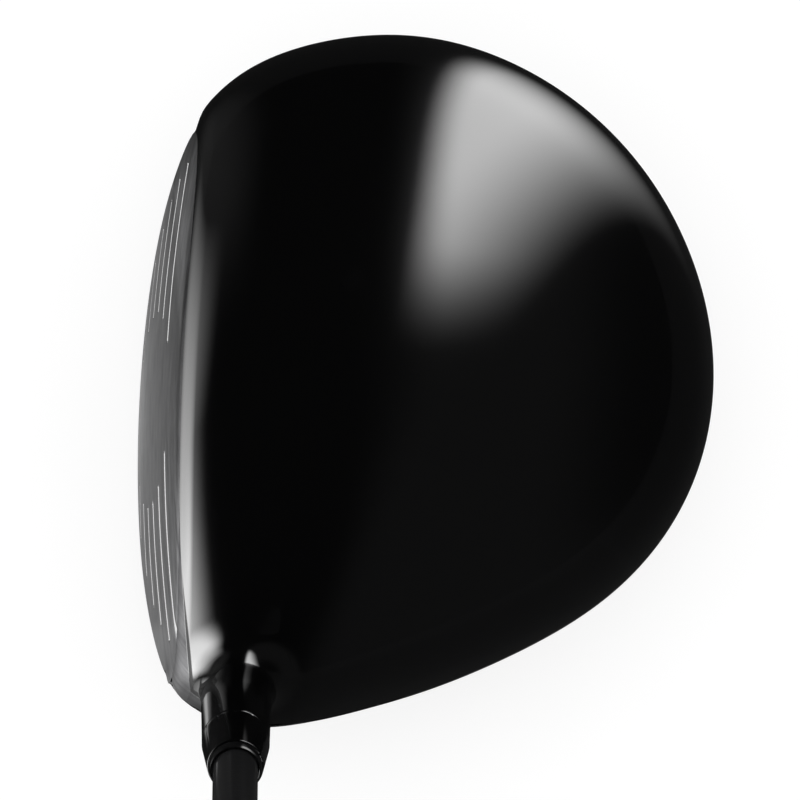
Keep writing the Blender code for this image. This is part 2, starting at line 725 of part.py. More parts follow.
def build_head():
    """Crown, sole, face plate and hosel piece. Returns the sole."""
    phi = plan_columns()
    crown = crown_grid(phi)
    crown_inside = inset(crown, CROWN_T, Column.field)
    head_object("crown_shell", dome_shell(crown, crown_inside), "gloss_black_lacquer")
    sole = sole_grid(phi)
    sole_inside = inset(sole, SOLE_T, Column.body)
    sole_shell = head_object("sole_shell", dome_shell(sole, sole_inside), "satin_titanium")
    back = inset(face_grid(phi, FACE_BACK_MARGIN), FACE_T, Column.body)
    head_object("face_plate", plate(face_grid(phi), back), "brushed_titanium")
    head_object("hosel_neck", closed_tube(neck_grid()), "gloss_black_lacquer")
    # opening in the sole under the hosel's tube
    cut_round(sole_shell, "port_cutter", BORE_R + 0.35, -4, 17, SHAFT_FRAME, 32)
    return sole_shell


def build_weight(side, x, y, sole_shell):
    """Cup, weight and screw. Local z points out of the sole, 0 at the cup's mouth."""
    recess = 0.5
    on_sole = np.array([x, y, float(sole_z(np.array([x]), np.array([y]))[0])])
    outward = normals_at(on_sole[None, :], Column.body)[0]
    frame = frame_on(on_sole - outward * recess, outward)

    inner_r, outer_r, boss_r, hole_r = 7.0, 8.0, 4.4, 2.3
    floor = -6.2
    under = floor - 1.4
    boss_end = floor - 7.0
    cut_round(sole_shell, side + "_port_cutter", outer_r + GAP, -9, 6, frame, 40)
    lathe(side + "_weight_port", [
        (inner_r + 0.4, 0), (outer_r, 0), (outer_r, under), (boss_r, under),
        (boss_r, boss_end), (hole_r, boss_end), (hole_r, floor), (inner_r, floor),
        (inner_r, -0.4),
    ], "cast_titanium", frame, 40)
    axis = bpy.data.objects.new(side + "_weight_axis", None)
    bpy.context.scene.collection.objects.link(axis)
    axis.matrix_world = frame

    # round weight with a sunk seat for the screw's head
    weight_r, sink_r, hole_r = 6.7, 4.2, 2.35
    bottom = floor + GAP
    top = bottom + 5.2
    sink = top - 2.9
    lathe(side + "_weight", [
        (sink_r, top), (weight_r - 0.5, top), (weight_r, top - 0.5), (weight_r, bottom + 0.4),
        (weight_r - 0.4, bottom), (hole_r, bottom), (hole_r, sink), (sink_r, sink),
    ], "tungsten_alloy", frame, 40)

    head_r, shank_r, socket_r = 3.8, 2.0, 1.7
    seat = sink + 0.15
    head_top = seat + 2.5
    socket_floor = head_top - 1.8
    tip = seat - 12.6 + 0.4
    lathe(side + "_weight_screw", [
        (0, tip), (shank_r - 0.4, tip), (shank_r, tip + 0.5), (shank_r, seat), (head_r, seat),
        (head_r, head_top - 0.4), (head_r - 0.4, head_top), (socket_r, head_top),
        (socket_r, socket_floor), (0, socket_floor),
    ], "dark_steel", frame, 24)


def build_hosel_screw():
    """Screw from below through the ledge, its washer under the ledge and a clip above."""
    hole_r = 2.65
    washer_top = LEDGE - GAP
    washer_bottom = washer_top - 1.5
    head_bottom, head_top, head_r = 15.6, washer_bottom - GAP, 4.0
    shank_r, top = 2.45, 43.7
    socket_r, socket_end = 1.9, head_bottom + 2.6
    lathe("hosel_screw", [
        (0, socket_end), (socket_r, socket_end), (socket_r, head_bottom),
        (head_r - 0.5, head_bottom), (head_r, head_bottom + 0.5), (head_r, head_top),
        (shank_r, head_top), (shank_r, top - 0.7), (shank_r - 0.7, top), (0, top),
    ], "dark_steel")
    lathe("screw_washer", collar(hole_r, 4.4, washer_bottom, washer_top), "dark_steel")
    lathe("screw_clip", collar(hole_r, 3.9, 34.4, 35.6), "nylon")


def build_loft_ring():
    bottom, bottom_r, top_r, bore_r = HOSEL_TOP + GAP, 6.2, 5.15, 4.87
    lathe("loft_ring", [
        (bore_r, bottom), (bottom_r - 0.3, bottom), (bottom_r, bottom + 0.3),
        (top_r, RING_TOP - 0.25), (top_r - 0.25, RING_TOP), (bore_r, RING_TOP),
    ], "anodised_aluminium", sides=40)


def build_sleeve():
    """Adaptor sleeve with splines round its lower end."""
    bottom, radius, root_r, teeth = 36.2, 4.75, 4.3, 12
    spline_top = bottom + 6.0
    hole_r, hole_top, bore_r = 2.6, 50.0, 4.3

    def splined(row, ring_r, i):
        # each tooth takes four sides, two of them at its root
        return root_r if row in (1, 2) and i % 4 in (2, 3) else ring_r

    lathe("adaptor_sleeve", [
        (hole_r, bottom), (radius, bottom), (radius, spline_top), (radius, spline_top + 0.3),
        (radius, SLEEVE_TOP), (bore_r, SLEEVE_TOP), (bore_r, SLEEVE_BORE_FROM),
        (hole_r, hole_top),
    ], "anodised_aluminium", sides=teeth * 4, radius_of=splined)


def build_ferrule():
    bottom, top, radius, bore_r = RING_TOP + GAP, 86.6, 4.95, 4.36
    lathe("ferrule", [
        (bore_r, bottom), (radius, bottom), (radius, bottom + 0.9), (radius - 0.12, bottom + 1.4),
        (bore_r + 0.25, top), (bore_r, top),
    ], "black_plastic", sides=40)


def shaft_r(along):
    """Outer radius of the shaft: straight tip, taper, straight butt."""
    share = min(1.0, max(0.0, (along - TAPER_FROM) / (TAPER_TO - TAPER_FROM)))
    return SHAFT_TIP_R + (SHAFT_BUTT_R - SHAFT_TIP_R) * share


def shaft_layer(stations, up_offset, down_offset):
    """Profile that goes up at one offset from the shaft's surface and down at another."""
    return ([(shaft_r(along) + up_offset, along) for along in stations]
            + [(shaft_r(along) + down_offset, along) for along in stations[::-1]])


def build_shaft():
    """Shaft and the plug in its tip."""
    stations = [SHAFT_BOTTOM, TAPER_FROM, 420.0, 760.0, TAPER_TO, SHAFT_TOP]
    lathe("shaft", shaft_layer(stations, 0, -SHAFT_WALL), "shaft_carbon")
    plug_r, plug_bottom, plug_length = 2.95, SHAFT_BOTTOM + 0.8, 18.0
    lathe("shaft_tip_plug", collar(0, plug_r, plug_bottom, plug_bottom + plug_length),
          "brass", sides=20)


def build_grip():
    """Tape, grip and the cap on its end."""
    tape_outside = TAPE_CLEARANCE + TAPE_T
    stations = [GRIP_MOUTH + 4, GRIP_MIDDLE, TAPER_TO, SHAFT_TOP - 1]
    lathe("grip_tape", shaft_layer(stations, TAPE_CLEARANCE, tape_outside), "paper_tape")

    def bore_r(along):
        return shaft_r(along) + tape_outside + GRIP_CLEARANCE

    mouth_r, end_r, top = 9.3, 13.4, GRIP_END - 2.1
    lathe("grip", [
        (bore_r(GRIP_MOUTH), GRIP_MOUTH), (mouth_r, GRIP_MOUTH),
        (mouth_r + 0.35, GRIP_MOUTH + 1.5), (mouth_r + 0.4, GRIP_MOUTH + 14),
        (10.4, 950.0), (12.0, 1040.0), (end_r, 1120.0), (end_r, top),
        (bore_r(SHAFT_TOP), top), (bore_r(TAPER_TO), TAPER_TO),
        (bore_r(GRIP_MIDDLE), GRIP_MIDDLE),
    ], "grip_rubber", sides=40)

    cap_r, hole_r = 15.6, 1.4
    cap_bottom, cap_top = GRIP_END - 1.8, GRIP_END + 4.4
    lathe("grip_cap", [
        (hole_r, cap_bottom), (cap_r - 2.0, cap_bottom), (cap_r, GRIP_END - 0.6),
        (cap_r, cap_top - 2.2), (cap_r - 1.6, cap_top - 0.6), (cap_r - 4.0, cap_top),
        (hole_r, cap_top),
    ], "grip_rubber", sides=40)


def build():
    sole_shell = build_head()
    for side, (x, y) in WEIGHTS.items():
        build_weight(side, x, y, sole_shell)
    build_hosel_screw()
    build_loft_ring()
    build_sleeve()
    build_ferrule()
    build_shaft()
    build_grip()


build()
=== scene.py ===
import json
import math

import bmesh
import bpy
import numpy as np
from mathutils import Matrix, Vector

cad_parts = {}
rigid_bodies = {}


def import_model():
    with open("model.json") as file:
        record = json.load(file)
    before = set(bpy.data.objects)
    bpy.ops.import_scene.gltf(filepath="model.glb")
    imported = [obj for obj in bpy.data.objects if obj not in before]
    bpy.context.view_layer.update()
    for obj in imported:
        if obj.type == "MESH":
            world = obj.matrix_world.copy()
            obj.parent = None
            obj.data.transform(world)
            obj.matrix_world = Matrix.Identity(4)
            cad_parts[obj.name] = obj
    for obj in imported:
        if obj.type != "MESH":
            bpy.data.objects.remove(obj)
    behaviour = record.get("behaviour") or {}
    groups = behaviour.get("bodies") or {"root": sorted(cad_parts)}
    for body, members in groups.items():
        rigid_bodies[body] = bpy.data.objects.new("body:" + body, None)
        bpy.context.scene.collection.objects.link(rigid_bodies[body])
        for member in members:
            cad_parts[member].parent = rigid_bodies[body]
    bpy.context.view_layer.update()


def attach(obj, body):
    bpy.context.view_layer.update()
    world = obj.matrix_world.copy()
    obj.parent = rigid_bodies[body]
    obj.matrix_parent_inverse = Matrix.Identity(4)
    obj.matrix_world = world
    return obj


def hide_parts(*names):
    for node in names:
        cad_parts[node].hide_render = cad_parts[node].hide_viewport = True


for ob in list(bpy.data.objects):
    bpy.data.objects.remove(ob, do_unlink=True)

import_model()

# ---- shape of the head, in millimetres in the shaft frame: x to the back, y to the toe, z up.
# The same surfaces as the CAD solids, sampled finely here.
LIE = 60.0
LOFT = 9.0                                     # of the face at its middle
BULGE_R, ROLL_R = 305.0, 280.0
FACE_AT = (-15.8, 23.5, 28.0)                  # a point of the striking face, where its bulge and roll are zero
CENTRE = (27.0, 34.0)                          # plan centre of the head
EQ_Z, EQ_SX, EQ_SY = 30.4, -0.06, 0.10         # height and slopes of the plane where crown and skirt meet
CROWN_TOP = 62.6
CROWN_POWER, SOLE_POWER = 2.3, 3.6             # how square the two sheets are in section
EDGE_BLEND = 2.2                               # rounding between face and sheets
# plan radius of the head by direction, back to toe to heel (degrees: mm)
OUTLINE = {0: 60.2, 15: 61.2, 30: 62.1, 45: 63.2, 60: 64.2, 75: 65.1, 90: 65.3, 105: 64.5, 118: 62.8,
           232.5: 66.4, 237: 67.3, 243: 67.5, 249: 65.4, 255: 62.2, 262: 59.3, 272: 56.0, 284: 53.6, 300: 52.9, 316: 54.6, 332: 57.0, 346: 58.9}
TOP_EDGE = {82: 47.0, 75: 50.6, 66: 53.9, 55: 55.5, 40: 55.6, 26: 54.9, 12: 53.7, 1: 51.4, -7: 47.6}      # toe to heel: height of the face's top edge
LEADING_EDGE = {78: 31.0, 70: 18.0, 57: 8.6, 42: 4.8, 27: 4.0, 14: 5.6, 2: 10.5, -6: 15.5}    # the same for its lower edge
HARMONICS = 14
# hosel
HOSEL_R, HOSEL_ROOT_R, HOSEL_TOP = 6.2, 6.5, 71.6
BLEND_CROWN, BLEND_HEEL, FRONT_SHARE = 9.0, 3.0, 0.15      # size of the run-out into the crown and into the heel, and how much smaller it is on the face side
NECK_AT, NECK_HALF, NECK_DEPTH = 246.0, 9.6, 13.0   # arch where the hosel piece meets the crown piece: direction of its middle, half width, depth from the outline

A_AX = np.array([0.0, -math.cos(math.radians(LIE)), math.sin(math.radians(LIE))])
N_AX = np.array([0.0, math.sin(math.radians(LIE)), math.cos(math.radians(LIE))])
X_AX = np.array([1.0, 0.0, 0.0])


def equator(x, y):
    return EQ_Z + EQ_SX * (x - 30) + EQ_SY * (y - 30)


def face_x(y, z):
    return FACE_AT[0] + math.tan(math.radians(LOFT)) * (z - FACE_AT[2]) + (z - FACE_AT[2]) ** 2 / (2 * ROLL_R) + (y - FACE_AT[1]) ** 2 / (2 * BULGE_R)


def periodic_spline(knots):
    """Periodic cubic through {degrees: value}."""
    x = np.radians(sorted(knots)); y = np.array([knots[k] for k in sorted(knots)], float)
    n = len(x); h = np.diff(np.append(x, x[0] + 2 * math.pi))
    A = np.zeros((n, n)); b = np.zeros(n)
    for i in range(n):
        hm, hp, nx = h[i - 1], h[i], (i + 1) % n
        A[i, i - 1] += hm; A[i, i] += 2 * (hm + hp); A[i, nx] += hp
        b[i] = 6 * ((y[nx] - y[i]) / hp - (y[i] - y[i - 1]) / hm)
    m = np.linalg.solve(A, b)

    def f(t):
        t = np.mod(np.asarray(t, float) - x[0], 2 * math.pi) + x[0]
        k = np.clip(np.searchsorted(x, t, side="right") - 1, 0, n - 1)
        q = (k + 1) % n
        d = t - x[k]; e = h[k] - d
        return (m[k] * e ** 3 + m[q] * d ** 3) / (6 * h[k]) + (y[k] / h[k] - m[k] * h[k] / 6) * e + (y[q] / h[k] - m[q] * h[k] / 6) * d
    return f


class Sheet:
    """Plan shape of one sheet: S is 0 at the centre, 1 on the outline and smooth between."""
    def __init__(self, knots):
        t = np.arange(720) * math.pi / 360
        c = np.fft.rfft(1 / periodic_spline(knots)(t) ** 2) / 720
        n = np.arange(HARMONICS + 1)
        taper = np.where(n < 8, 1.0, np.cos((n - 7) / (HARMONICS - 6) * math.pi / 2) ** 2)
        self.c = c[: HARMONICS + 1] * np.r_[1, 2 * np.ones(HARMONICS)] * taper
        self.p = np.array([0, 1, 0] + [1] + list(range(2, HARMONICS - 1)), float)

    def square(self, x, y):
        shape = np.shape(x)
        dx, dy = np.ravel(x) - CENTRE[0], np.ravel(y) - CENTRE[1]
        r2 = dx * dx + dy * dy
        e = (dx + 1j * dy) / np.sqrt(np.maximum(r2, 1e-12))
        terms = np.empty((HARMONICS + 1, len(e)))
        w = np.ones_like(e)
        for n in range(HARMONICS + 1):
            terms[n] = (self.c[n] * w).real
            w = w * e
        rho = np.minimum(np.sqrt(np.maximum(terms.sum(0), 1e-9) * r2), 1.0)
        total = np.zeros_like(rho); power = {}
        for n in range(HARMONICS + 1):
            p = int(self.p[n])
            if p not in power:
                power[p] = rho ** p
            total += terms[n] * power[p]
        return (r2 * total).reshape(shape)

    def radius(self, phi):
        phi = np.atleast_1d(phi)
        n = np.arange(HARMONICS + 1)[:, None]
        return 1 / np.sqrt((self.c[:, None] * np.exp(1j * n * phi[None, :])).real.sum(0))


def sheet_through(edge, power, height):
    """The outline ahead of the face that makes the sheet meet the face along the given edge."""
    knots = dict(OUTLINE)
    for y, z in edge.items():
        x = face_x(y, z)
        dx, dy = x - CENTRE[0], y - CENTRE[1]
        h = height(x, y, z)
        s = (1 - h * h) ** (1 / power)
        knots[round(math.degrees(math.atan2(dy, dx)) % 360, 3)] = math.hypot(dx, dy) / s
    return Sheet(knots)


CROWN_H = CROWN_TOP - equator(*CENTRE)
CROWN = sheet_through(TOP_EDGE, CROWN_POWER, lambda x, y, z: (z - equator(x, y)) / CROWN_H)
SOLE = sheet_through(LEADING_EDGE, SOLE_POWER, lambda x, y, z: 1 - z / equator(x, y))


def with_slopes(sheet, x, y, e=1e-3):
    s = sheet.square(x, y)
    return s, (sheet.square(x + e, y) - s) / e, (sheet.square(x, y + e) - s) / e


class Column:
    """What the two sheets need at plan positions x, y, so that several heights are tried cheaply."""
    def __init__(self, x, y):
        self.x, self.y = np.asarray(x, float), np.asarray(y, float)
        self.ze = equator(self.x, self.y)
        self.c = with_slopes(CROWN, self.x, self.y)
        self.s = with_slopes(SOLE, self.x, self.y)

    def blank(self, z):
        up = z >= self.ze
        out = np.empty(np.shape(z))
        for upper, (s, sx, sy), a in ((True, self.c, CROWN_POWER), (False, self.s, SOLE_POWER)):
            s = np.maximum(s, 1e-9)
            if upper:
                h = (z - self.ze) / CROWN_H
                hx, hy, hz = -EQ_SX / CROWN_H, -EQ_SY / CROWN_H, 1 / CROWN_H
            else:
                h = 1 - z / self.ze
                hx, hy, hz = z * EQ_SX / self.ze ** 2, z * EQ_SY / self.ze ** 2, -1 / self.ze
            g = s ** (a / 2) + h * h - 1
            k = a / 2 * s ** (a / 2 - 1)
            grad = np.sqrt((k * sx + 2 * h * hx) ** 2 + (k * sy + 2 * h * hy) ** 2 + (2 * h * hz) ** 2)
            d = g / np.maximum(grad, 1e-4)
            out = np.where(up if upper else ~up, d, out)
        return np.clip(out, -40, 40)

    def parts(self, z):
        """(distance outside the two sheets, distance ahead of the face)"""
        return self.blank(z), (face_x(self.y, z) - self.x) * 0.985

    def body(self, z):
        b, f = self.parts(z)
        h = np.maximum(EDGE_BLEND - np.abs(b - f), 0) / EDGE_BLEND
        return np.maximum(b, f) + h * h * EDGE_BLEND / 4

    def field(self, z):
        """Below 0 inside the head and hosel."""
        b = self.body(z)
        u, r, s = shaft_coords(self.x, self.y, z)
        hosel = r - HOSEL_R - (HOSEL_ROOT_R - HOSEL_R) * np.clip((68 - s) / 20, 0, 1)
        k = BLEND_HEEL + (BLEND_CROWN - BLEND_HEEL) * (0.5 + 0.5 * u) ** 1.5
        k = k * (1 - FRONT_SHARE * np.clip(-self.x / np.maximum(r, 1e-9), 0, 1))
        h = np.maximum(k - np.abs(b - hosel), 0) / k
        return np.minimum(b, hosel) - h * h * k / 4


def shaft_coords(x, y, z):
    """(cosine of the direction round the axis, distance from it, distance along it)"""
    n = y * N_AX[1] + z * N_AX[2]
    r = np.sqrt(x * x + n * n)
    return n / np.maximum(r, 1e-9), r, y * A_AX[1] + z * A_AX[2]


def field_at(p, which="field"):
    return getattr(Column(p[..., 0], p[..., 1]), which)(p[..., 2])


def root(f, a, b, steps=30):
    """Where f, below 0 at a and above 0 at b, crosses 0."""
    a, b = np.array(a, float), np.array(b, float)
    for _ in range(steps):
        m = (a + b) / 2
        inside = f(m) < 0
        a, b = np.where(inside, m, a), np.where(inside, b, m)
    return (a + b) / 2


def normals_at(p, which="field", e=2e-3):
    g = np.stack([field_at(p + e * d, which) - field_at(p - e * d, which) for d in np.eye(3)], -1)
    return g / np.maximum(np.linalg.norm(g, axis=-1, keepdims=True), 1e-12)


def crown_z(x, y, which="field"):
    col = Column(x, y)
    return root(getattr(col, which), col.ze - 1.5, col.ze + CROWN_H + 6)


def sole_z(x, y, start=None):
    """Height of the underside, looked for downwards from a height inside the head."""
    col = Column(x, y)
    start = col.ze + 1.5 if start is None else np.broadcast_to(start, np.shape(x))
    return -root(lambda m: col.body(-m), -start, np.full(np.shape(x), 1.0))


def side_r(phi, z, which="body"):
    """Plan radius of the surface at directions phi and heights z."""
    c, s = np.cos(phi), np.sin(phi)
    return root(lambda r: getattr(Column(CENTRE[0] + r * c, CENTRE[1] + r * s), which)(z), np.full(np.shape(z), 5.0), np.full(np.shape(z), 95.0), 34)


def polar(phi, r):
    return CENTRE[0] + r * np.cos(phi), CENTRE[1] + r * np.sin(phi)


ORIGIN = np.array([CENTRE[0], CENTRE[1], 0.12])   # centre of the flat land on the sole
LAND_Z = 0.12
GAP = 0.3                                      # left between neighbours
CROWN_T, SOLE_T, FACE_T, NECK_T = 0.9, 1.0, 2.6, 1.1
COLUMNS, CROWN_ROWS, SOLE_ROWS, FACE_ROWS = 84, 13, 12, 6
NECK_COLUMNS, FLARE_ROWS = 44, 4
SIDES = 32                                     # of a round piece

# along the shaft's axis, from the ground
BORE_R, TUBE_R, LEDGE, LEDGE_T, SCREW_HOLE_R = 4.9, 5.9, 22.0, 4.0, 2.85
SLEEVE = dict(bottom=36.2, top=84.1, r=4.75, hole_r=2.6, hole_top=50.0, bore_from=51.2, bore_r=4.3, spline=6.0, root_r=4.3, teeth=12)
RING = dict(bottom=71.9, top=84.4, r0=6.2, r1=5.15, bore_r=4.87)
FERRULE = dict(bottom=84.7, top=86.6, r=4.95, bore_r=4.36)
SHAFT_BOTTOM, SHAFT_TOP, SHAFT_TIP_R, SHAFT_BUTT_R, SHAFT_WALL, TIP_STRAIGHT = 51.8, 1151.0, 4.12, 7.6, 1.05, 100.0
PLUG = dict(bottom=52.6, length=18.0, r=2.95)
SCREW = dict(head_bottom=15.6, head_top=19.9, head_r=4.0, shank_r=2.45, top=43.7, socket_r=1.9, socket=2.6)
WASHER = dict(bottom=20.2, top=21.7, r=4.4, hole_r=2.65)
CLIP = dict(bottom=34.4, top=35.6, r=3.9, hole_r=2.65)
GRIP = dict(mouth=888.0, end=1153.6, r0=9.3, r1=13.4, tape=0.35)
CAP = dict(r=15.6, thick=4.4, hole_r=1.4)

# weights in the sole: plan position of each
PORTS = {"toe": (46.0, 76.0), "heel": (49.0, 3.0)}
CUP = dict(recess=0.5, r_in=7.0, r_out=8.0, depth=6.2, floor=1.4, boss_r=4.4, boss=7.0, hole_r=2.3)
PUCK = dict(r=6.7, thick=5.2, hole_r=2.35, sink_r=4.2, sink=2.9)
PORT_SCREW = dict(head_r=3.8, head=2.5, shank_r=2.0, length=12.6, socket_r=1.7, socket=1.8)


def neck_arch(x, y):
    """Below 0 in the plan of the hosel piece, in about millimetres from the arch."""
    dx, dy = x - CENTRE[0], y - CENTRE[1]
    r, phi = np.hypot(dx, dy), np.arctan2(dy, dx)
    off = (phi - math.radians(NECK_AT) + math.pi) % (2 * math.pi) - math.pi
    rim = CROWN.radius(phi.ravel()).reshape(phi.shape)
    return (np.hypot(off * 66.5 / NECK_HALF, (rim - r) / NECK_DEPTH) - 1) * NECK_HALF


def neck_span():
    half = NECK_HALF / 66.5
    return math.radians(NECK_AT) - half, math.radians(NECK_AT) + half


def face_limits(phi, shift=0.35, count=260):
    """For each direction: (height of the face's top edge, of its lower edge), nan where it has no face."""
    z = np.linspace(1.0, 60.0, count)
    P, Z = np.meshgrid(phi, z, indexing="ij")
    r = side_r(P, Z)
    x, y = polar(P, r)
    b, f = Column(x, y).parts(Z)
    d = f - b - shift * EDGE_BLEND
    top, low = np.full(len(phi), np.nan), np.full(len(phi), np.nan)
    for i in range(len(phi)):
        on = np.flatnonzero(d[i] > 0)
        if len(on) < 3:
            continue
        for edge, a, q in ((top, on[-1], on[-1] + 1), (low, on[0], on[0] - 1)):
            t = d[i, a] / (d[i, a] - d[i, q])
            edge[i] = z[a] + t * (z[q] - z[a])
    return top, low


def equator_height(phi):
    r = np.full(np.shape(phi), 60.0)
    for _ in range(12):
        x, y = polar(phi, r)
        z = equator(x, y)
        r = side_r(phi, z)
    x, y = polar(phi, r)
    return equator(x, y)


def inset(grid, thick, which):
    return grid - thick * normals_at(grid, which)


def shaft_point(psi, r, s):
    """Point at direction psi round the axis (0 to the toe, 90 degrees to the back)."""
    psi, r, s = np.broadcast_arrays(psi, r, s)
    return (r * np.cos(psi))[..., None] * N_AX + (r * np.sin(psi))[..., None] * X_AX + s[..., None] * A_AX


def neck_surface(psi, r):
    """Points of the outer surface at direction psi and distance r from the axis."""
    def f(s):
        p = shaft_point(psi, r, s)
        return field_at(p)
    s = root(f, np.full(np.shape(psi * r), 24.0), np.full(np.shape(psi * r), 75.0), 32)
    return shaft_point(psi, r, s), s


def neck_reach(psi, gap):
    """How far the hosel piece goes from the axis in each direction."""
    def beyond(r):
        p, _ = neck_surface(psi, r)
        over = neck_arch(p[..., 0], p[..., 1]) + gap / 2
        under = equator(p[..., 0], p[..., 1]) + gap / 2 - p[..., 2]
        return np.maximum(over, under)
    return root(beyond, np.full(len(psi), HOSEL_ROOT_R + 0.12), np.full(len(psi), 15.0), 26)


def neck_columns(count):
    """Directions round the shaft, with one at each corner where the arch meets the outline."""
    psi = np.arange(count) * 2 * math.pi / count
    for phi in neck_span():
        z = equator_height(np.array([phi]))
        x, y = polar(np.array([phi]), side_r(np.array([phi]), z))
        corner = math.atan2(x[0], y[0] * N_AX[1] + z[0] * N_AX[2]) % (2 * math.pi)
        psi[np.argmin(abs(psi - corner))] = corner
    return psi


def neck_grid(columns, flare, gap):
    """Rows of the hosel piece's closed section, from the top rim down the outside, under the flare, down the tube and up the bore."""
    psi = neck_columns(columns)
    reach = neck_reach(psi, gap)
    rows = [shaft_point(psi, np.full(columns, BORE_R + 0.5), np.full(columns, HOSEL_TOP)),
            shaft_point(psi, np.full(columns, HOSEL_R - 0.35), np.full(columns, HOSEL_TOP)),
            shaft_point(psi, np.full(columns, HOSEL_R), np.full(columns, HOSEL_TOP - 0.35))]
    flare_rows = []
    for t in np.linspace(0, 1, flare + 1) ** 1.5:
        r = HOSEL_R + 0.1 + (HOSEL_ROOT_R - HOSEL_R) * min(1, t * 6) + t * (reach - HOSEL_ROOT_R - 0.1)
        p, s = neck_surface(psi, r)
        flare_rows.append(p)
    rows += flare_rows
    under = []
    for p in flare_rows[::-1][:-1]:
        q = p - NECK_T * normals_at(p)
        u, d, s = shaft_coords(q[..., 0], q[..., 1], q[..., 2])
        keep = np.maximum(d, TUBE_R + 0.02 * (len(flare_rows) - len(under)))
        q = q + (keep - d)[:, None] * (q - s[:, None] * A_AX) / d[:, None]
        under.append(q)
    rows += under
    def end(r):
        def f(s):
            p = shaft_point(psi, r, s)
            return 1.0 * ((sole_z(p[..., 0], p[..., 1]) + SOLE_T * 1.25 + GAP + 0.35) - p[..., 2])
        s = root(lambda m: f(-m), np.full(columns, -30.0), np.full(columns, 0.0), 24)
        return shaft_point(psi, r, -s)
    rows += [end(np.full(columns, TUBE_R)), end(np.full(columns, BORE_R))]
    ring = lambda r, s: shaft_point(psi, np.full(columns, float(r)), np.full(columns, float(s)))
    rows += [ring(BORE_R, LEDGE), ring(SCREW_HOLE_R, LEDGE), ring(SCREW_HOLE_R, LEDGE + LEDGE_T), ring(BORE_R, LEDGE + LEDGE_T), ring(BORE_R, HOSEL_TOP - 0.5)]
    return np.stack(rows)


# ---- fine sampling: edges sit tight, and the strip beyond each end of the face runs into the skirt line ----
TIGHT = 0.03
HEAD_COLUMNS, CROWN_FINE, SOLE_FINE = 330, 84, 84
FACE_COLS, NECK_COLS, FLARE = 300, 208, 40


def face_ends():
    phi = np.radians(np.linspace(118, 242, 745))
    top, low = face_limits(phi, count=200)
    tall = np.flatnonzero(np.nan_to_num(top - low) > 1.2)
    return phi[tall[0]], phi[tall[-1]]


FACE_SPAN = face_ends()
RUN_OUT = math.radians(7.0)


def seam_height(phi):
    """Height of the line between the crown and the sole pieces, away from the face."""
    z = equator_height(phi)
    for end, way in zip(FACE_SPAN, (-1, 1)):
        e = np.array([end - way * 1e-4])
        top, low = face_limits(e)
        mid = float((top[0] + low[0]) / 2) if np.isfinite(top[0]) else float(equator_height(e)[0])
        off = way * (phi - end)
        t = np.clip(1 - off / RUN_OUT, 0, 1)
        t = t * t * (3 - 2 * t)
        near = (off > -1e-6) & (off < RUN_OUT)
        z = np.where(near, z + (mid - z) * t, z)
    return z


def rim_r(phi, z, way):
    """Plan radius of a rim at height z; next to the plane where the sheets meet it is read a little above (1) or below (-1) it."""
    eq = equator_height(phi)
    return side_r(phi, np.where(abs(z - eq) < 0.2, eq + way * 0.2, z))


def head_columns(count):
    phi = np.arange(count) * 2 * math.pi / count
    fine = math.radians(0.35)
    for end in FACE_SPAN:
        near = end + fine * np.linspace(-3, 3, 7)
        phi = phi[(phi < near.min() - fine * 0.6) | (phi > near.max() + fine * 0.6)]
        phi = np.sort(np.concatenate([phi, near]))
    a, b = neck_span()
    arch = (a + b) / 2 - (b - a) / 2 * np.cos(np.linspace(0, math.pi, 49))
    arch = np.concatenate([[a - fine * 0.12], arch, [b + fine * 0.12]])
    phi = phi[(phi < a - fine * 0.5) | (phi > b + fine * 0.5)]
    return np.sort(np.concatenate([phi, arch]))


def crown_rim(phi, gap):
    lo, hi = FACE_SPAN
    inside = (phi >= lo) & (phi <= hi)
    z = seam_height(phi) + gap / 2
    top, _ = face_limits(phi[inside])
    z[inside] = top + gap / 2
    r = rim_r(phi, z, 1)
    a, b = neck_span()
    share = ((phi - a) / (b - a) * 2 - 1) * (1 - gap / 2 / NECK_HALF)
    near = np.flatnonzero(abs(share) < 1)
    arch = CROWN.radius(phi[near]) - (NECK_DEPTH + gap / 2) * np.sqrt(1 - share[near] ** 2)
    arch = np.minimum(arch, r[near])
    cut = arch < r[near] - 0.02
    near, arch = near[cut], arch[cut]
    r[near] = arch
    z[near] = crown_z(*polar(phi[near], arch))
    return r, z


def fine_crown(phi, rows, gap):
    r, z = crown_rim(phi, gap)
    share = np.sin(np.linspace(0, 1, rows + 1) * math.pi / 2) ** 1.05
    x, y = polar(phi[None, :], share[:, None] * r[None, :])
    h = crown_z(x, y)
    h[-1] = z
    return np.stack([x, y, h], -1)


def fine_sole(phi, rows, gap):
    lo, hi = FACE_SPAN
    inside = (phi >= lo) & (phi <= hi)
    z = seam_height(phi) - gap / 2
    _, low = face_limits(phi[inside])
    z[inside] = low - gap / 2
    r = rim_r(phi, z, np.where(inside, 1, -1))
    share = np.sin(np.linspace(0, 1, rows + 1) * math.pi / 2) ** 1.05
    x, y = polar(phi[None, :], share[:, None] * r[None, :])
    h = sole_z(x, y, z[None, :])
    h[-1] = z
    return np.stack([x, y, np.maximum(h, LAND_Z)], -1)


# ---- meshes from arrays ----
def row_frame(p):
    return (np.asarray(p, float).reshape(-1, 3) - ORIGIN) / 1000.0


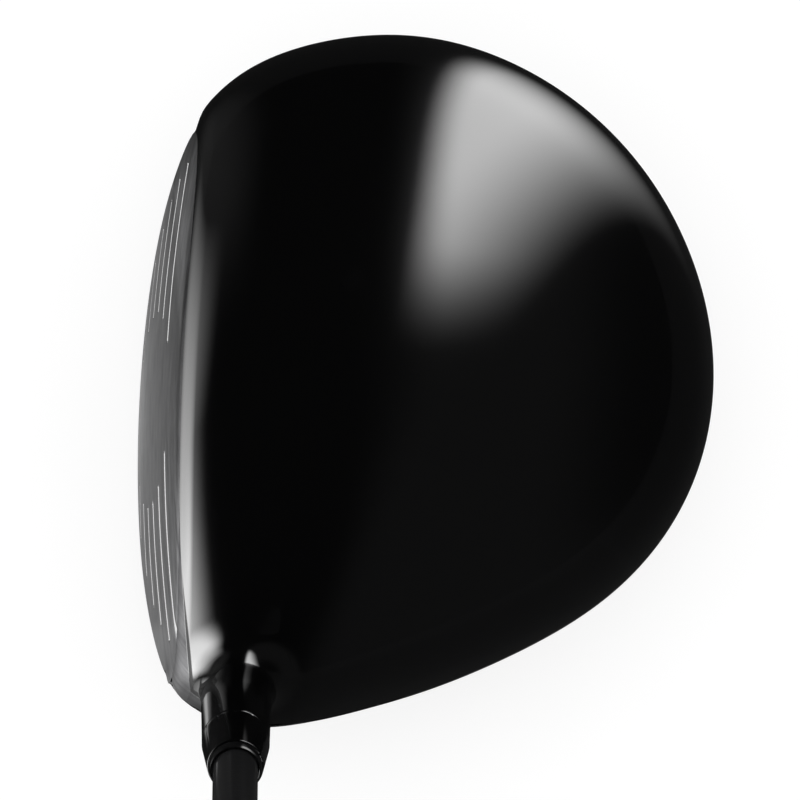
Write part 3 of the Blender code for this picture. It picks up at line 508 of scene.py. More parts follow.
def new_mesh(name, verts, polys, recalc=True):
    """verts in metres; polys a list of arrays of 3 or 4 columns."""
    me = bpy.data.meshes.new(name)
    verts = np.ascontiguousarray(verts, np.float32)
    me.vertices.add(len(verts))
    me.vertices.foreach_set("co", verts.ravel())
    loops = np.concatenate([np.asarray(p).ravel() for p in polys]).astype(np.int32)
    sizes = np.concatenate([np.full(len(p), np.asarray(p).shape[1]) for p in polys])
    me.loops.add(len(loops))
    me.loops.foreach_set("vertex_index", loops)
    me.polygons.add(len(sizes))
    me.polygons.foreach_set("loop_start", np.concatenate([[0], np.cumsum(sizes)[:-1]]).astype(np.int32))
    me.update(calc_edges=True)
    me.validate()
    if recalc:
        bm = bmesh.new()
        bm.from_mesh(me)
        bmesh.ops.recalc_face_normals(bm, faces=bm.faces)
        if bm.calc_volume(signed=True) < 0:
            bmesh.ops.reverse_faces(bm, faces=bm.faces)
        bm.to_mesh(me)
        bm.free()
    return me


def merge_close(me, dist):
    bm = bmesh.new()
    bm.from_mesh(me)
    bmesh.ops.remove_doubles(bm, verts=bm.verts, dist=dist)
    bmesh.ops.dissolve_degenerate(bm, dist=dist, edges=bm.edges)
    bmesh.ops.recalc_face_normals(bm, faces=bm.faces)
    if bm.calc_volume(signed=True) < 0:
        bmesh.ops.reverse_faces(bm, faces=bm.faces)
    bm.to_mesh(me)
    bm.free()


def put(name, me, look, body, stands_for=(), sharp=35, smooth=True):
    ob = bpy.data.objects.new(name, me)
    bpy.context.scene.collection.objects.link(ob)
    for m in (look if isinstance(look, (list, tuple)) else [look]):
        me.materials.append(m)
    if smooth:
        me.polygons.foreach_set("use_smooth", np.ones(len(me.polygons), bool))
        if sharp:
            me.set_sharp_from_angle(angle=math.radians(sharp))
    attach(ob, body)
    if stands_for:
        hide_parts(*stands_for)
    return ob


def shell_polys(rows, cols):
    """Quads and pole triangles of two polar grids, joined round their last rows. Vertices: pole, rows 1.., then the same again."""
    i = np.arange(cols)
    k = (i + 1) % cols
    quads, tris = [], []
    for s, flip in ((0, False), (1 + (rows - 1) * cols, True)):
        t = np.stack([np.full(cols, s), s + 1 + i, s + 1 + k], 1)
        tris.append(t[:, ::-1] if flip else t)
        for j in range(1, rows - 1):
            a = s + 1 + (j - 1) * cols
            b = a + cols
            q = np.stack([a + i, b + i, b + k, a + k], 1)
            quads.append(q[:, ::-1] if flip else q)
    last = 1 + (rows - 2) * cols
    n = 1 + (rows - 1) * cols
    quads.append(np.stack([last + i, n + last + i, n + last + k, last + k], 1))
    return [np.concatenate(quads), np.concatenate(tris)]


def shell_verts(outer, inner):
    return np.concatenate([np.concatenate([g[0, :1], g[1:].reshape(-1, 3)]) for g in (outer, inner)])


def surface_normals(me, outer_count, which, tol=0.7):
    """Corner normals from the true surface for the first outer_count vertices, where a face lies along it."""
    n = len(me.vertices)
    co = np.empty(n * 3, np.float32)
    me.vertices.foreach_get("co", co)
    p = co.reshape(-1, 3).astype(float) * 1000 + ORIGIN
    exact = np.zeros((n, 3))
    keep = np.zeros(n, bool)
    if outer_count is None:
        d = np.abs(field_at(p, which))
        keep = d < 0.004
    else:
        keep[:outer_count] = True
    exact[keep] = normals_at(p[keep], which)
    loops = np.empty(len(me.loops), np.int32)
    me.loops.foreach_get("vertex_index", loops)
    corner = np.array([c.vector for c in me.corner_normals], float)
    starts = np.empty(len(me.polygons), np.int32)
    totals = np.empty(len(me.polygons), np.int32)
    me.polygons.foreach_get("loop_start", starts)
    me.polygons.foreach_get("loop_total", totals)
    fn = np.empty(len(me.polygons) * 3, np.float32)
    me.polygons.foreach_get("normal", fn)
    face_of = np.repeat(np.arange(len(totals)), totals)
    fn = fn.reshape(-1, 3)[face_of]
    good = keep[loops] & ((exact[loops] * fn).sum(1) > tol)
    corner[good] = exact[loops][good]
    me.normals_split_custom_set([tuple(v) for v in corner])


def frame_on(point_mm, axis):
    z = np.asarray(axis, float) / np.linalg.norm(axis)
    x = np.array([1.0, 0, 0]) - z * z[0]
    x /= np.linalg.norm(x)
    return np.asarray(point_mm, float), np.stack([x, np.cross(z, x), z])


def turned(name, profile, look, place, body, stands_for, sides=96, radius_of=None, sharp=35):
    """Closed polygon of (radius, height) turned round an axis. radius_of(k, r, theta) varies the radius round a ring."""
    me = turned_mesh(name, profile, place, sides, radius_of)
    return put(name, me, look, body, stands_for, sharp)


def turned_mesh(name, profile, place, sides=96, radius_of=None):
    base, axes = place
    th = np.arange(sides) * 2 * math.pi / sides
    verts, rings = [], []
    count = 0
    for k, (r, h) in enumerate(profile):
        if r < 1e-9:
            verts.append(np.array([[0.0, 0.0, h]]))
            rings.append(np.array([count]))
            count += 1
            continue
        rr = radius_of(k, r, th) if radius_of else np.full(sides, float(r))
        verts.append(np.stack([rr * np.cos(th), rr * np.sin(th), np.full(sides, float(h))], 1))
        rings.append(count + np.arange(sides))
        count += sides
    local = np.concatenate(verts)
    world = base + local @ axes
    quads, tris = [], []
    for a, b in zip(rings, rings[1:] + rings[:1]):
        if len(a) == 1 and len(b) == 1:
            continue
        if len(a) == 1:
            tris.append(np.stack([np.full(sides, a[0]), b, np.roll(b, -1)], 1))
        elif len(b) == 1:
            tris.append(np.stack([a, np.roll(a, -1), np.full(sides, b[0])], 1))
        else:
            quads.append(np.stack([a, np.roll(a, -1), np.roll(b, -1), b], 1))
    polys = [np.concatenate(g) for g in (quads, tris) if g]
    return new_mesh(name, row_frame(world), polys)


def rounded(profile, radius=0.25, steps=3):
    """Profile with its corners replaced by small arcs. A point may carry its own radius as a third value; 0 keeps it sharp."""
    out = []
    n = len(profile)
    for k in range(n):
        p = np.array(profile[k][:2], float)
        rad = profile[k][2] if len(profile[k]) > 2 else radius
        a, b = np.array(profile[k - 1][:2], float), np.array(profile[(k + 1) % n][:2], float)
        la, lb = np.linalg.norm(a - p), np.linalg.norm(b - p)
        if rad <= 0 or p[0] < 1e-9 or la < 1e-6 or lb < 1e-6:
            out.append(tuple(p))
            continue
        ua, ub = (a - p) / la, (b - p) / lb
        turn = math.acos(max(-1, min(1, float(-ua @ ub))))
        if turn < 0.15:
            out.append(tuple(p))
            continue
        d = min(rad * math.tan(turn / 2), 0.45 * la, 0.45 * lb)
        s, e = p + ua * d, p + ub * d
        for t in np.linspace(0, 1, steps + 1):
            q = (1 - t) ** 2 * s + 2 * t * (1 - t) * p + t * t * e
            out.append(tuple(q))
    return out


ALONG = frame_on((0.0, 0.0, 0.0), A_AX)


# ---- shader helpers ----
def nd(t, kind, attrs=None, ins=None):
    n = t.nodes.new(kind)
    for k, v in (attrs or {}).items():
        setattr(n, k, v)
    for k, v in (ins or {}).items():
        s = n.inputs[k]
        if isinstance(v, bpy.types.NodeSocket):
            t.links.new(v, s)
        else:
            s.default_value = v
    return n


def ma(t, op, a, b=0.0, c=0.0):
    return nd(t, "ShaderNodeMath", {"operation": op}, {0: a, 1: b, 2: c}).outputs[0]


def step(t, v, lo, hi, a=0.0, b=1.0, kind="SMOOTHSTEP"):
    return nd(t, "ShaderNodeMapRange", {"interpolation_type": kind, "clamp": True}, {0: v, 1: lo, 2: hi, 3: a, 4: b}).outputs[0]


def mix(t, f, a, b):
    n = nd(t, "ShaderNodeMix", {"data_type": "RGBA"}, {0: f})
    for i, v in ((6, a), (7, b)):
        if isinstance(v, bpy.types.NodeSocket):
            t.links.new(v, n.inputs[i])
        else:
            n.inputs[i].default_value = (*v, 1.0) if len(v) == 3 else v
    return n.outputs[2]


def local_mm(t, scale=(1000.0, 1000.0, 1000.0), spin=(0.0, 0.0, 0.0), at=(0.0, 0.0, 0.0)):
    """Object coordinates in millimetres, stretched by scale."""
    co = nd(t, "ShaderNodeTexCoord").outputs["Object"]
    if any(spin) or any(at):
        m = nd(t, "ShaderNodeMapping", {"vector_type": "TEXTURE"}, {0: co, 1: at, 2: spin})
        co = m.outputs[0]
    return nd(t, "ShaderNodeVectorMath", {"operation": "MULTIPLY"}, {0: co, 1: scale}).outputs[0]


def noise(t, v, scale, detail=3.0, rough=0.5, distort=0.0):
    return nd(t, "ShaderNodeTexNoise", None, {"Vector": v, "Scale": scale, "Detail": detail, "Roughness": rough, "Distortion": distort}).outputs["Fac"]


def bump(t, height, strength, dist, normal=None):
    ins = {"Height": height, "Strength": strength, "Distance": dist}
    if normal is not None:
        ins["Normal"] = normal
    return nd(t, "ShaderNodeBump", None, ins).outputs[0]


def look(name):
    m = bpy.data.materials.new(name)
    m.use_nodes = True
    t = m.node_tree
    t.nodes.clear()
    out = nd(t, "ShaderNodeOutputMaterial")
    b = nd(t, "ShaderNodeBsdfPrincipled")
    t.links.new(b.outputs[0], out.inputs[0])
    return m, t, b, out


def feed(t, b, **ins):
    for k, v in ins.items():
        s = b.inputs[k.replace("_", " ")]
        if isinstance(v, bpy.types.NodeSocket):
            t.links.new(v, s)
        elif isinstance(v, (tuple, list)) and len(v) == 3 and s.type == "RGBA":
            s.default_value = (*v, 1.0)
        else:
            s.default_value = v


def edge_wear(t, radius=0.0004):
    """1 on convex edges, from the difference between the bevelled and the true normal."""
    bev = nd(t, "ShaderNodeBevel", {"samples": 4}, {0: radius}).outputs[0]
    geo = nd(t, "ShaderNodeNewGeometry").outputs["Normal"]
    dot = nd(t, "ShaderNodeVectorMath", {"operation": "DOT_PRODUCT"}, {0: bev, 1: geo}).outputs["Value"]
    return step(t, dot, 0.995, 0.85)


def metal(name, colour, rough=0.3, grain="cast", colour2=None, amount=1.0, axis=None, wear=True):
    """A bare metal: turned rings, brushed lines or a cast skin, with handling marks and brighter edges."""
    m, t, b, out = look(name)
    dark = colour2 or tuple(c * 0.72 for c in colour)
    mm = local_mm(t)
    if grain == "brushed":
        v = local_mm(t, (700.0, 40.0, 9000.0))
        fine = noise(t, v, 1.0, 4.0, 0.65)
        broad = noise(t, local_mm(t, (120.0, 12.0, 900.0)), 1.0, 3.0, 0.6)
    elif grain == "turned":
        fine = noise(t, local_mm(t, (600.0, 5200.0, 5200.0)), 1.0, 3.0, 0.6)
        broad = noise(t, mm, 0.6, 2.0, 0.5)
    else:
        fine = noise(t, mm, 5.0, 4.0, 0.6)
        broad = noise(t, mm, 0.45, 3.0, 0.5)
    f = ma(t, "ADD", ma(t, "MULTIPLY", fine, 0.55), ma(t, "MULTIPLY", broad, 0.45))
    f = step(t, f, 0.3, 0.7)
    col = mix(t, f, dark, colour)
    if wear:
        bright = tuple(min(1.0, c * 1.5 + 0.03) for c in colour)
        col = mix(t, ma(t, "MULTIPLY", edge_wear(t, 0.0003), 0.55), col, bright)
    scr = noise(t, local_mm(t, (900.0, 160.0, 420.0), (0.3, 0.5, 0.2)), 1.0, 6.0, 0.7)
    scr = step(t, scr, 0.60, 0.66)
    r = ma(t, "ADD", ma(t, "MULTIPLY_ADD", fine, 0.16, rough - 0.08), ma(t, "MULTIPLY", scr, 0.08))
    nrm = bump(t, fine, 0.5 * amount, 0.00002 if grain != "cast" else 0.00004)
    feed(t, b, Base_Color=col, Metallic=1.0, Roughness=r, Normal=nrm)
    if grain == "brushed":
        feed(t, b, Anisotropic=0.6)
    return m


def lacquer(name, base=(0.0007, 0.0007, 0.0008), ior=1.8, coat_rough=0.02, flake=True, face_side=False):
    """Deep gloss paint: dark base coat with sparse mica, under a clear coat with orange peel and hairline swirl."""
    m, t, b, out = look(name)
    mm = local_mm(t)
    col = mix(t, noise(t, mm, 0.05, 3.0), tuple(c * 0.7 for c in base), tuple(c * 1.25 for c in base))
    if flake:
        vor = nd(t, "ShaderNodeTexVoronoi", {"feature": "F1"}, {"Vector": mm, "Scale": 7.0})
        sep = nd(t, "ShaderNodeSeparateColor", None, {0: vor.outputs["Color"]})
        spark = ma(t, "MULTIPLY", step(t, sep.outputs[0], 0.965, 1.0), step(t, vor.outputs["Distance"], 0.30, 0.12))
        col = mix(t, ma(t, "MULTIPLY", spark, 0.6), col, (0.02, 0.02, 0.022))
    peel = noise(t, mm, 0.32, 2.0, 0.4)
    swirl = noise(t, local_mm(t, (1500.0, 90.0, 500.0), (0.2, 0.1, 0.7)), 1.0, 4.0, 0.6, 0.4)
    hair = step(t, ma(t, "ABSOLUTE", ma(t, "SUBTRACT", swirl, 0.5)), 0.006, 0.0)
    cr = ma(t, "MULTIPLY_ADD", hair, 0.02, ma(t, "MULTIPLY_ADD", noise(t, mm, 0.09, 3.0), 0.012, coat_rough - 0.006))
    nrm = bump(t, peel, 1.0, 0.0000016)
    feed(t, b, Base_Color=col, Roughness=0.12, IOR=ior, Coat_Weight=1.0, Coat_IOR=ior, Coat_Roughness=cr, Normal=nrm, Coat_Normal=nrm)
    if face_side:
        grey = nd(t, "ShaderNodeBsdfPrincipled")
        brushed_face(t, grey)
        geo = nd(t, "ShaderNodeSeparateXYZ", None, {0: mm})
        # the bare metal of the face carries on past its own heel end, up to the paint line and to the foot of the neck
        x, y, z = geo.outputs
        along = ma(t, "ADD", y, 16.0)
        line = ma(t, "MULTIPLY_ADD", ma(t, "MULTIPLY", along, along), 1 / 800, -37.4)
        line = ma(t, "ADD", line, ma(t, "MULTIPLY", ma(t, "MAXIMUM", ma(t, "SUBTRACT", -56.0, y), 0.0), 1.1))
        off_n = ma(t, "ADD", ma(t, "MULTIPLY", ma(t, "ADD", y, 34.0), float(N_AX[1])), ma(t, "MULTIPLY", ma(t, "ADD", z, 0.12), float(N_AX[2])))
        off_x = ma(t, "ADD", x, 27.0)
        away = ma(t, "SQRT", ma(t, "ADD", ma(t, "MULTIPLY", off_n, off_n), ma(t, "MULTIPLY", off_x, off_x)))
        mask = ma(t, "MULTIPLY", step(t, ma(t, "SUBTRACT", line, x), 0.0, 0.12), ma(t, "MULTIPLY", step(t, away, 7.3, 7.5), step(t, y, -14.0, -18.0)))
        # painted shade: the strip lights this bevel harder than the flat of the face, so the bare metal's colour is
        # darkened there, less so past y = -55 mm
        bare = grey.inputs["Base Color"].links[0].from_socket
        painted_shade_scale = step(t, y, -55.0, -49.0, 0.85, 0.4)
        bare = nd(t, "ShaderNodeVectorMath", {"operation": "SCALE"}, {0: bare, 3: painted_shade_scale}).outputs[0]
        feed(t, grey, Base_Color=bare)
        sh = nd(t, "ShaderNodeMixShader", None, {0: mask, 1: b.outputs[0], 2: grey.outputs[0]})
        # painted shade: a dull black line where the lacquer stops, widening towards the heel, standing in for the dark
        # reflection on the edge rounding
        past = ma(t, "SUBTRACT", x, line)
        wide = step(t, y, -34.0, -52.0, 0.0, 0.6)
        # groove is the mask of this painted dark line; no groove is cut in the surface
        groove = ma(t, "MULTIPLY", step(t, past, -0.05, 0.05), step(t, ma(t, "SUBTRACT", past, wide), 0.1, -0.1))
        groove = ma(t, "MULTIPLY", groove, ma(t, "MULTIPLY", step(t, y, -33.0, -40.0), step(t, away, 6.9, 7.2)))
        painted_dark_line_look = nd(t, "ShaderNodeBsdfPrincipled")
        feed(t, painted_dark_line_look, Base_Color=mix(t, noise(t, mm, 2.0, 3.0), (0.003, 0.003, 0.003), (0.009, 0.009, 0.009)), Roughness=0.5, Normal=bump(t, noise(t, mm, 6.0, 3.0), 0.3, 0.00001))
        sh = nd(t, "ShaderNodeMixShader", None, {0: groove, 1: sh.outputs[0], 2: painted_dark_line_look.outputs[0]})
        t.links.new(sh.outputs[0], out.inputs[0])
    return m


def brushed_face(t, b):
    """Titanium brushed from heel to toe under a thin dark film."""
    fine = noise(t, local_mm(t, (60.0, 26.0, 5200.0)), 1.0, 5.0, 0.7)
    mid = noise(t, local_mm(t, (20.0, 9.0, 620.0)), 1.0, 4.0, 0.6)
    broad = noise(t, local_mm(t, (60.0, 150.0, 620.0)), 1.0, 3.0, 0.6)
    f = ma(t, "ADD", ma(t, "MULTIPLY", fine, 0.3), ma(t, "ADD", ma(t, "MULTIPLY", mid, 0.3), ma(t, "MULTIPLY", broad, 0.4)))
    f = step(t, f, 0.36, 0.64, kind="LINEAR")
    col = mix(t, f, (0.095, 0.095, 0.098), (0.25, 0.25, 0.255))
    r = ma(t, "MULTIPLY_ADD", mid, 0.18, 0.26)
    nrm = bump(t, fine, 0.7, 0.000012)
    tan = nd(t, "ShaderNodeTangent", {"direction_type": "RADIAL", "axis": "Y"})
    feed(t, b, Base_Color=col, Metallic=1.0, Roughness=r, Normal=nrm, Anisotropic=0.55, Tangent=tan.outputs[0])


def paint(name, colour, rough=0.45):
    m, t, b, out = look(name)
    mm = local_mm(t)
    f = noise(t, mm, 3.0, 4.0, 0.6)
    col = mix(t, step(t, f, 0.35, 0.7), tuple(c * 0.86 for c in colour), colour)
    nrm = bump(t, f, 0.4, 0.00002)
    feed(t, b, Base_Color=col, Roughness=ma(t, "MULTIPLY_ADD", f, 0.15, rough - 0.07), Normal=nrm)
    return m


def anodised(name, colour=(0.012, 0.012, 0.013), rough=0.16, ior=1.9):
    m, t, b, out = look(name)
    mm = local_mm(t)
    rings = noise(t, local_mm(t, (0.0, 4000.0, -6928.0)), 1.0, 3.0, 0.6)
    blast = noise(t, mm, 8.0, 3.0, 0.6)
    col = mix(t, blast, tuple(c * 0.7 for c in colour), tuple(c * 1.3 for c in colour))
    col = mix(t, ma(t, "MULTIPLY", edge_wear(t, 0.0002), 0.25), col, (0.16, 0.16, 0.165))
    r = ma(t, "MULTIPLY_ADD", rings, 0.08, rough - 0.04)
    nrm = bump(t, ma(t, "ADD", rings, ma(t, "MULTIPLY", blast, 0.4)), 0.35, 0.000008)
    feed(t, b, Base_Color=col, Roughness=r, IOR=ior, Normal=nrm, Metallic=0.0, Coat_Weight=0.5, Coat_Roughness=0.08)
    return m


def plastic(name, colour, rough=0.2, ior=1.6, sss=0.0, grain=2.0):
    m, t, b, out = look(name)
    mm = local_mm(t)
    f = noise(t, mm, grain, 4.0, 0.55)
    col = mix(t, f, tuple(c * 0.8 for c in colour), tuple(c * 1.2 for c in colour))
    scr = step(t, noise(t, local_mm(t, (1200.0, 150.0, 300.0), (0.5, 0.2, 0.9)), 1.0, 5.0, 0.6), 0.61, 0.66)
    r = ma(t, "ADD", ma(t, "MULTIPLY_ADD", f, 0.1, rough - 0.05), ma(t, "MULTIPLY", scr, 0.08))
    feed(t, b, Base_Color=col, Roughness=r, IOR=ior, Normal=bump(t, f, 0.3, 0.00001))
    if sss:
        feed(t, b, Subsurface_Weight=sss, Subsurface_Scale=0.0005)
    return m


def carbon(name):
    """Clear-coated graphite shaft: near-black paint over a spiral tape wrap that shows as faint bands."""
    m, t, b, out = look(name)
    co = nd(t, "ShaderNodeTexCoord").outputs["Object"]
    s = nd(t, "ShaderNodeVectorMath", {"operation": "DOT_PRODUCT"}, {0: co, 1: tuple(A_AX * 1000)}).outputs["Value"]
    n = nd(t, "ShaderNodeVectorMath", {"operation": "DOT_PRODUCT"}, {0: nd(t, "ShaderNodeVectorMath", {"operation": "ADD"}, {0: co, 1: (0.027, 0.034, 0.00012)}).outputs[0], 1: tuple(N_AX * 1000)}).outputs["Value"]
    x = nd(t, "ShaderNodeSeparateXYZ", None, {0: co}).outputs[0]
    ang = ma(t, "ARCTAN2", ma(t, "MULTIPLY_ADD", x, 1000.0, 27.0), n)
    wrap = ma(t, "MULTIPLY_ADD", ang, 1 / (2 * math.pi), ma(t, "MULTIPLY", s, 1 / 2.6))
    wrap = ma(t, "ABSOLUTE", ma(t, "SUBTRACT", ma(t, "FRACT", wrap), 0.5))
    band = step(t, wrap, 0.36, 0.5)
    fibre = noise(t, local_mm(t, (900.0, 60.0, 60.0)), 1.0, 4.0, 0.6)
    f = ma(t, "ADD", ma(t, "MULTIPLY", band, 0.5), ma(t, "MULTIPLY", fibre, 0.5))
    col = mix(t, f, (0.0035, 0.0035, 0.0038), (0.013, 0.013, 0.014))
    nrm = bump(t, band, 0.6, 0.000012)
    feed(t, b, Base_Color=col, Roughness=0.3, IOR=1.6, Coat_Weight=1.0, Coat_IOR=1.6, Coat_Roughness=ma(t, "MULTIPLY_ADD", fibre, 0.05, 0.03), Normal=nrm)
    return m


def rubber(name, colour=(0.012, 0.012, 0.0125)):
    m, t, b, out = look(name)
    mm = local_mm(t)
    f = noise(t, mm, 4.0, 5.0, 0.7)
    cloud = noise(t, mm, 0.06, 3.0, 0.5)
    col = mix(t, ma(t, "ADD", ma(t, "MULTIPLY", f, 0.5), ma(t, "MULTIPLY", cloud, 0.5)), tuple(c * 0.7 for c in colour), tuple(c * 1.6 for c in colour))
    col = mix(t, ma(t, "MULTIPLY", edge_wear(t, 0.0005), 0.35), col, tuple(c * 3.5 for c in colour))
    feed(t, b, Base_Color=col, Roughness=ma(t, "MULTIPLY_ADD", f, 0.2, 0.62), Normal=bump(t, f, 0.6, 0.00006), Sheen_Weight=0.15, Sheen_Roughness=0.6)
    return m


def masking(name):
    m, t, b, out = look(name)
    mm = local_mm(t)
    crepe = noise(t, local_mm(t, (300.0, 2600.0, -1500.0)), 1.0, 5.0, 0.6)
    f = noise(t, mm, 0.5, 3.0)
    col = mix(t, f, (0.42, 0.37, 0.26), (0.56, 0.51, 0.38))
    feed(t, b, Base_Color=col, Roughness=0.85, Normal=bump(t, crepe, 0.7, 0.00006))
    return m


LACQUER = lacquer("gloss_black_lacquer_look")
NECK_LOOK = lacquer("gloss_black_neck_look", face_side=True)
FACE_LOOK, ft, fb, _ = look("brushed_titanium_look")
brushed_face(ft, fb)
SCORE = paint("score_line_paint", (0.86, 0.86, 0.86))
SOLE_LOOK = metal("satin_titanium_look", (0.16, 0.16, 0.165), 0.27, "brushed", wear=False)
CAST = metal("cast_titanium_look", (0.21, 0.21, 0.215), 0.42, "cast")
STEEL = metal("dark_steel_look", (0.10, 0.10, 0.105), 0.26, "turned")
TUNGSTEN = metal("tungsten_alloy_look", (0.33, 0.325, 0.315), 0.3, "turned")
ALLOY = anodised("anodised_aluminium_look")
RING_LOOK = lacquer("gloss_ring_look", ior=1.75, coat_rough=0.03, flake=False)
FERRULE_LOOK = plastic("black_plastic_look", (0.004, 0.004, 0.0042), 0.07, 1.75)
NYLON = plastic("nylon_look", (0.62, 0.6, 0.52), 0.42, 1.53, 0.3)
CARBON = carbon("shaft_carbon_look")
BRASS = metal("brass_look", (0.62, 0.43, 0.16), 0.28, "turned")
RUBBER = rubber("grip_rubber_look")
CAP_LOOK = rubber("grip_cap_look", (0.018, 0.018, 0.019))
TAPE = masking("paper_tape_look")

# ---- crown and sole ----
phi = head_columns(HEAD_COLUMNS)
cols = len(phi)
outer = fine_crown(phi, CROWN_FINE, TIGHT)
me = new_mesh("crown_fine", row_frame(shell_verts(outer, inset(outer, CROWN_T, "field"))), shell_polys(CROWN_FINE + 1, cols))
crown = put("crown_lacquered", me, NECK_LOOK, "head", ("crown_shell",))
surface_normals(me, 1 + CROWN_FINE * cols, "field", 0.3)

outer = fine_sole(phi, SOLE_FINE, TIGHT)


def channel(d, half, depth, soft=0.35):
    """Depth of a channel whose middle is at distance d = 0."""
    t = np.clip((np.abs(d) - half) / soft, 0, 1)
    return depth * (1 - t * t * (3 - 2 * t))


def sole_relief(p):
    """Shallow decorative channels: a ring inside the skirt, and two sweeping lines beside the flat land."""
    x, y = p[..., 0] - CENTRE[0], p[..., 1] - CENTRE[1]
    a = np.arctan2(y, x)
    s = np.sqrt(np.maximum(SOLE.square(p[..., 0], p[..., 1]), 0))
    ring = channel((s - 0.86) * 60, 0.35, 0.35)
    ring *= np.clip((np.abs((a + math.pi) % (2 * math.pi) - math.pi) < 2.05), 0, 1)
    left = channel(y - 17 - x * x / 260, 0.4, 0.35) * (x > -24) * (s < 0.84)
    right = channel(y + 17 + x * x / 260, 0.4, 0.35) * (x > -24) * (s < 0.84)
    return np.maximum(np.maximum(ring, left), right)


relief = sole_relief(outer)
relief[-1] = 0
lifted = outer - relief[..., None] * normals_at(outer, "body")
me = new_mesh("sole_fine", row_frame(shell_verts(lifted, inset(outer, SOLE_T, "body"))), shell_polys(SOLE_FINE + 1, cols))
sole = put("sole_satin", me, [SOLE_LOOK, FACE_LOOK], "head", ("sole_shell",))
centre = np.empty(len(me.polygons) * 3, np.float32)
me.polygons.foreach_get("center", centre)
c = centre.reshape(-1, 3) * 1000 + ORIGIN
me.polygons.foreach_set("material_index", ((c[:, 1] < -10) & (c[:, 0] < -3.0 + (c[:, 1] + 24) * 0.6) & (c[:, 2] > 20)).astype(np.int32))


def cutter(profile, place):
    ob = bpy.data.objects.new("tmp_cutter", turned_mesh("tmp_cutter", profile, place, 96))
    bpy.context.scene.collection.objects.link(ob)
    return ob


def bore_out(ob, cutters):
    for c in cutters:
        mod = ob.modifiers.new("Opening", "BOOLEAN")
        mod.operation, mod.solver, mod.object = "DIFFERENCE", "EXACT", c
    dg = bpy.context.evaluated_depsgraph_get()
    done = bpy.data.meshes.new_from_object(ob.evaluated_get(dg), depsgraph=dg)
    ob.modifiers.clear()
    ob.data = done
    for c in cutters:
        bpy.data.objects.remove(c, do_unlink=True)
    return done


PORT_FRAMES = {}
cutters = [cutter([(0, -4), (BORE_R + 0.35, -4), (BORE_R + 0.35, 17), (0, 17)], ALONG)]
for side, (px, py) in PORTS.items():
    p = np.array([px, py, float(sole_z(np.array([px]), np.array([py]))[0])])
    w = normals_at(p[None, :], "body")[0]
    PORT_FRAMES[side] = frame_on(p - w * CUP["recess"], w)
    cutters.append(cutter([(0, -9), (CUP["r_out"] + 0.08, -9), (CUP["r_out"] + 0.08, 6), (0, 6)], PORT_FRAMES[side]))
me = bore_out(sole, cutters)
me.polygons.foreach_set("use_smooth", np.ones(len(me.polygons), bool))
me.set_sharp_from_angle(angle=math.radians(35))
surface_normals(me, None, "body")

# ---- striking face: rows follow the score lines ----
SCORE_Z = (42.0, 35.8, 29.5, 23.3, 17.0, 10.8)
TOE_ENDS = ((74.5, 41.9), (72.6, 47.3), (69.8, 49.6), (65.7, 49.8), (60.6, 48.2), (54.1, 43.8))
HEEL_ENDS = ((20.8, -13.0), (15.5, -12.4), (13.5, -8.3), (13.6, -4.0), (15.6, 2.5), (20.2, 10.9))
SCORE_HALF, SCORE_DEPTH = 0.5, 0.22


def score_depth(y, z):
    d = np.zeros(np.shape(y))
    for zc, *ends in zip(SCORE_Z, TOE_ENDS, HEEL_ENDS):
        for hi, lo in ends:
            out = np.maximum(np.maximum(lo - y, y - hi), 0)
            dist = np.hypot(out, z - zc)
            t = np.clip((dist - SCORE_HALF * 0.55) / (SCORE_HALF * 0.6), 0, 1)
            d = np.maximum(d, 1 - t * t * (3 - 2 * t))
    return d


def face_fine(count):
    lo, hi = FACE_SPAN
    phi = np.linspace(lo + 0.0006, hi - 0.0006, count)
    top, low = face_limits(phi)
    top = np.where(np.isfinite(top), top, np.nanmin(top)) - TIGHT / 2
    low = np.where(np.isfinite(low), low, np.nanmax(low)) + TIGHT / 2
    low = np.minimum(low, top - 0.05)
    levels = [z + d for z in SCORE_Z for d in (-0.6, -0.46, -0.28, 0.0, 0.28, 0.46, 0.6)]
    fill = [z for z in np.arange(2.0, 58.0, 0.42) if min(abs(z - s) for s in SCORE_Z) > 0.7]
    z = np.array(sorted(levels + fill, reverse=True))
    # the row nearest each edge is the edge itself
    Z = np.clip(z[:, None], low[None, :], top[None, :])
    Z = np.concatenate([top[None, :], Z, low[None, :]])
    P = np.broadcast_to(phi[None, :], Z.shape)
    eq = equator_height(phi)[None, :]
    tips = (P < lo + math.radians(2)) | (P > hi - math.radians(2))
    r = side_r(P, np.where(tips & (abs(Z - eq) < 0.2), eq + 0.2, Z))
    x, y = polar(P, r)
    return np.stack([x, y, Z], -1)


def plate_polys(rows, cols):
    idx = np.arange(rows * cols).reshape(rows, cols)
    n = rows * cols
    a, b, c, d = idx[:-1, :-1].ravel(), idx[:-1, 1:].ravel(), idx[1:, 1:].ravel(), idx[1:, :-1].ravel()
    front = np.stack([a, d, c, b], 1)
    back = n + np.stack([a, b, c, d], 1)
    rim = np.concatenate([idx[0], idx[1:, -1], idx[-1, :-1][::-1], idx[1:-1, 0][::-1]])
    nxt = np.roll(rim, -1)
    return [np.concatenate([front, back, np.stack([rim, nxt, n + nxt, n + rim], 1)])]


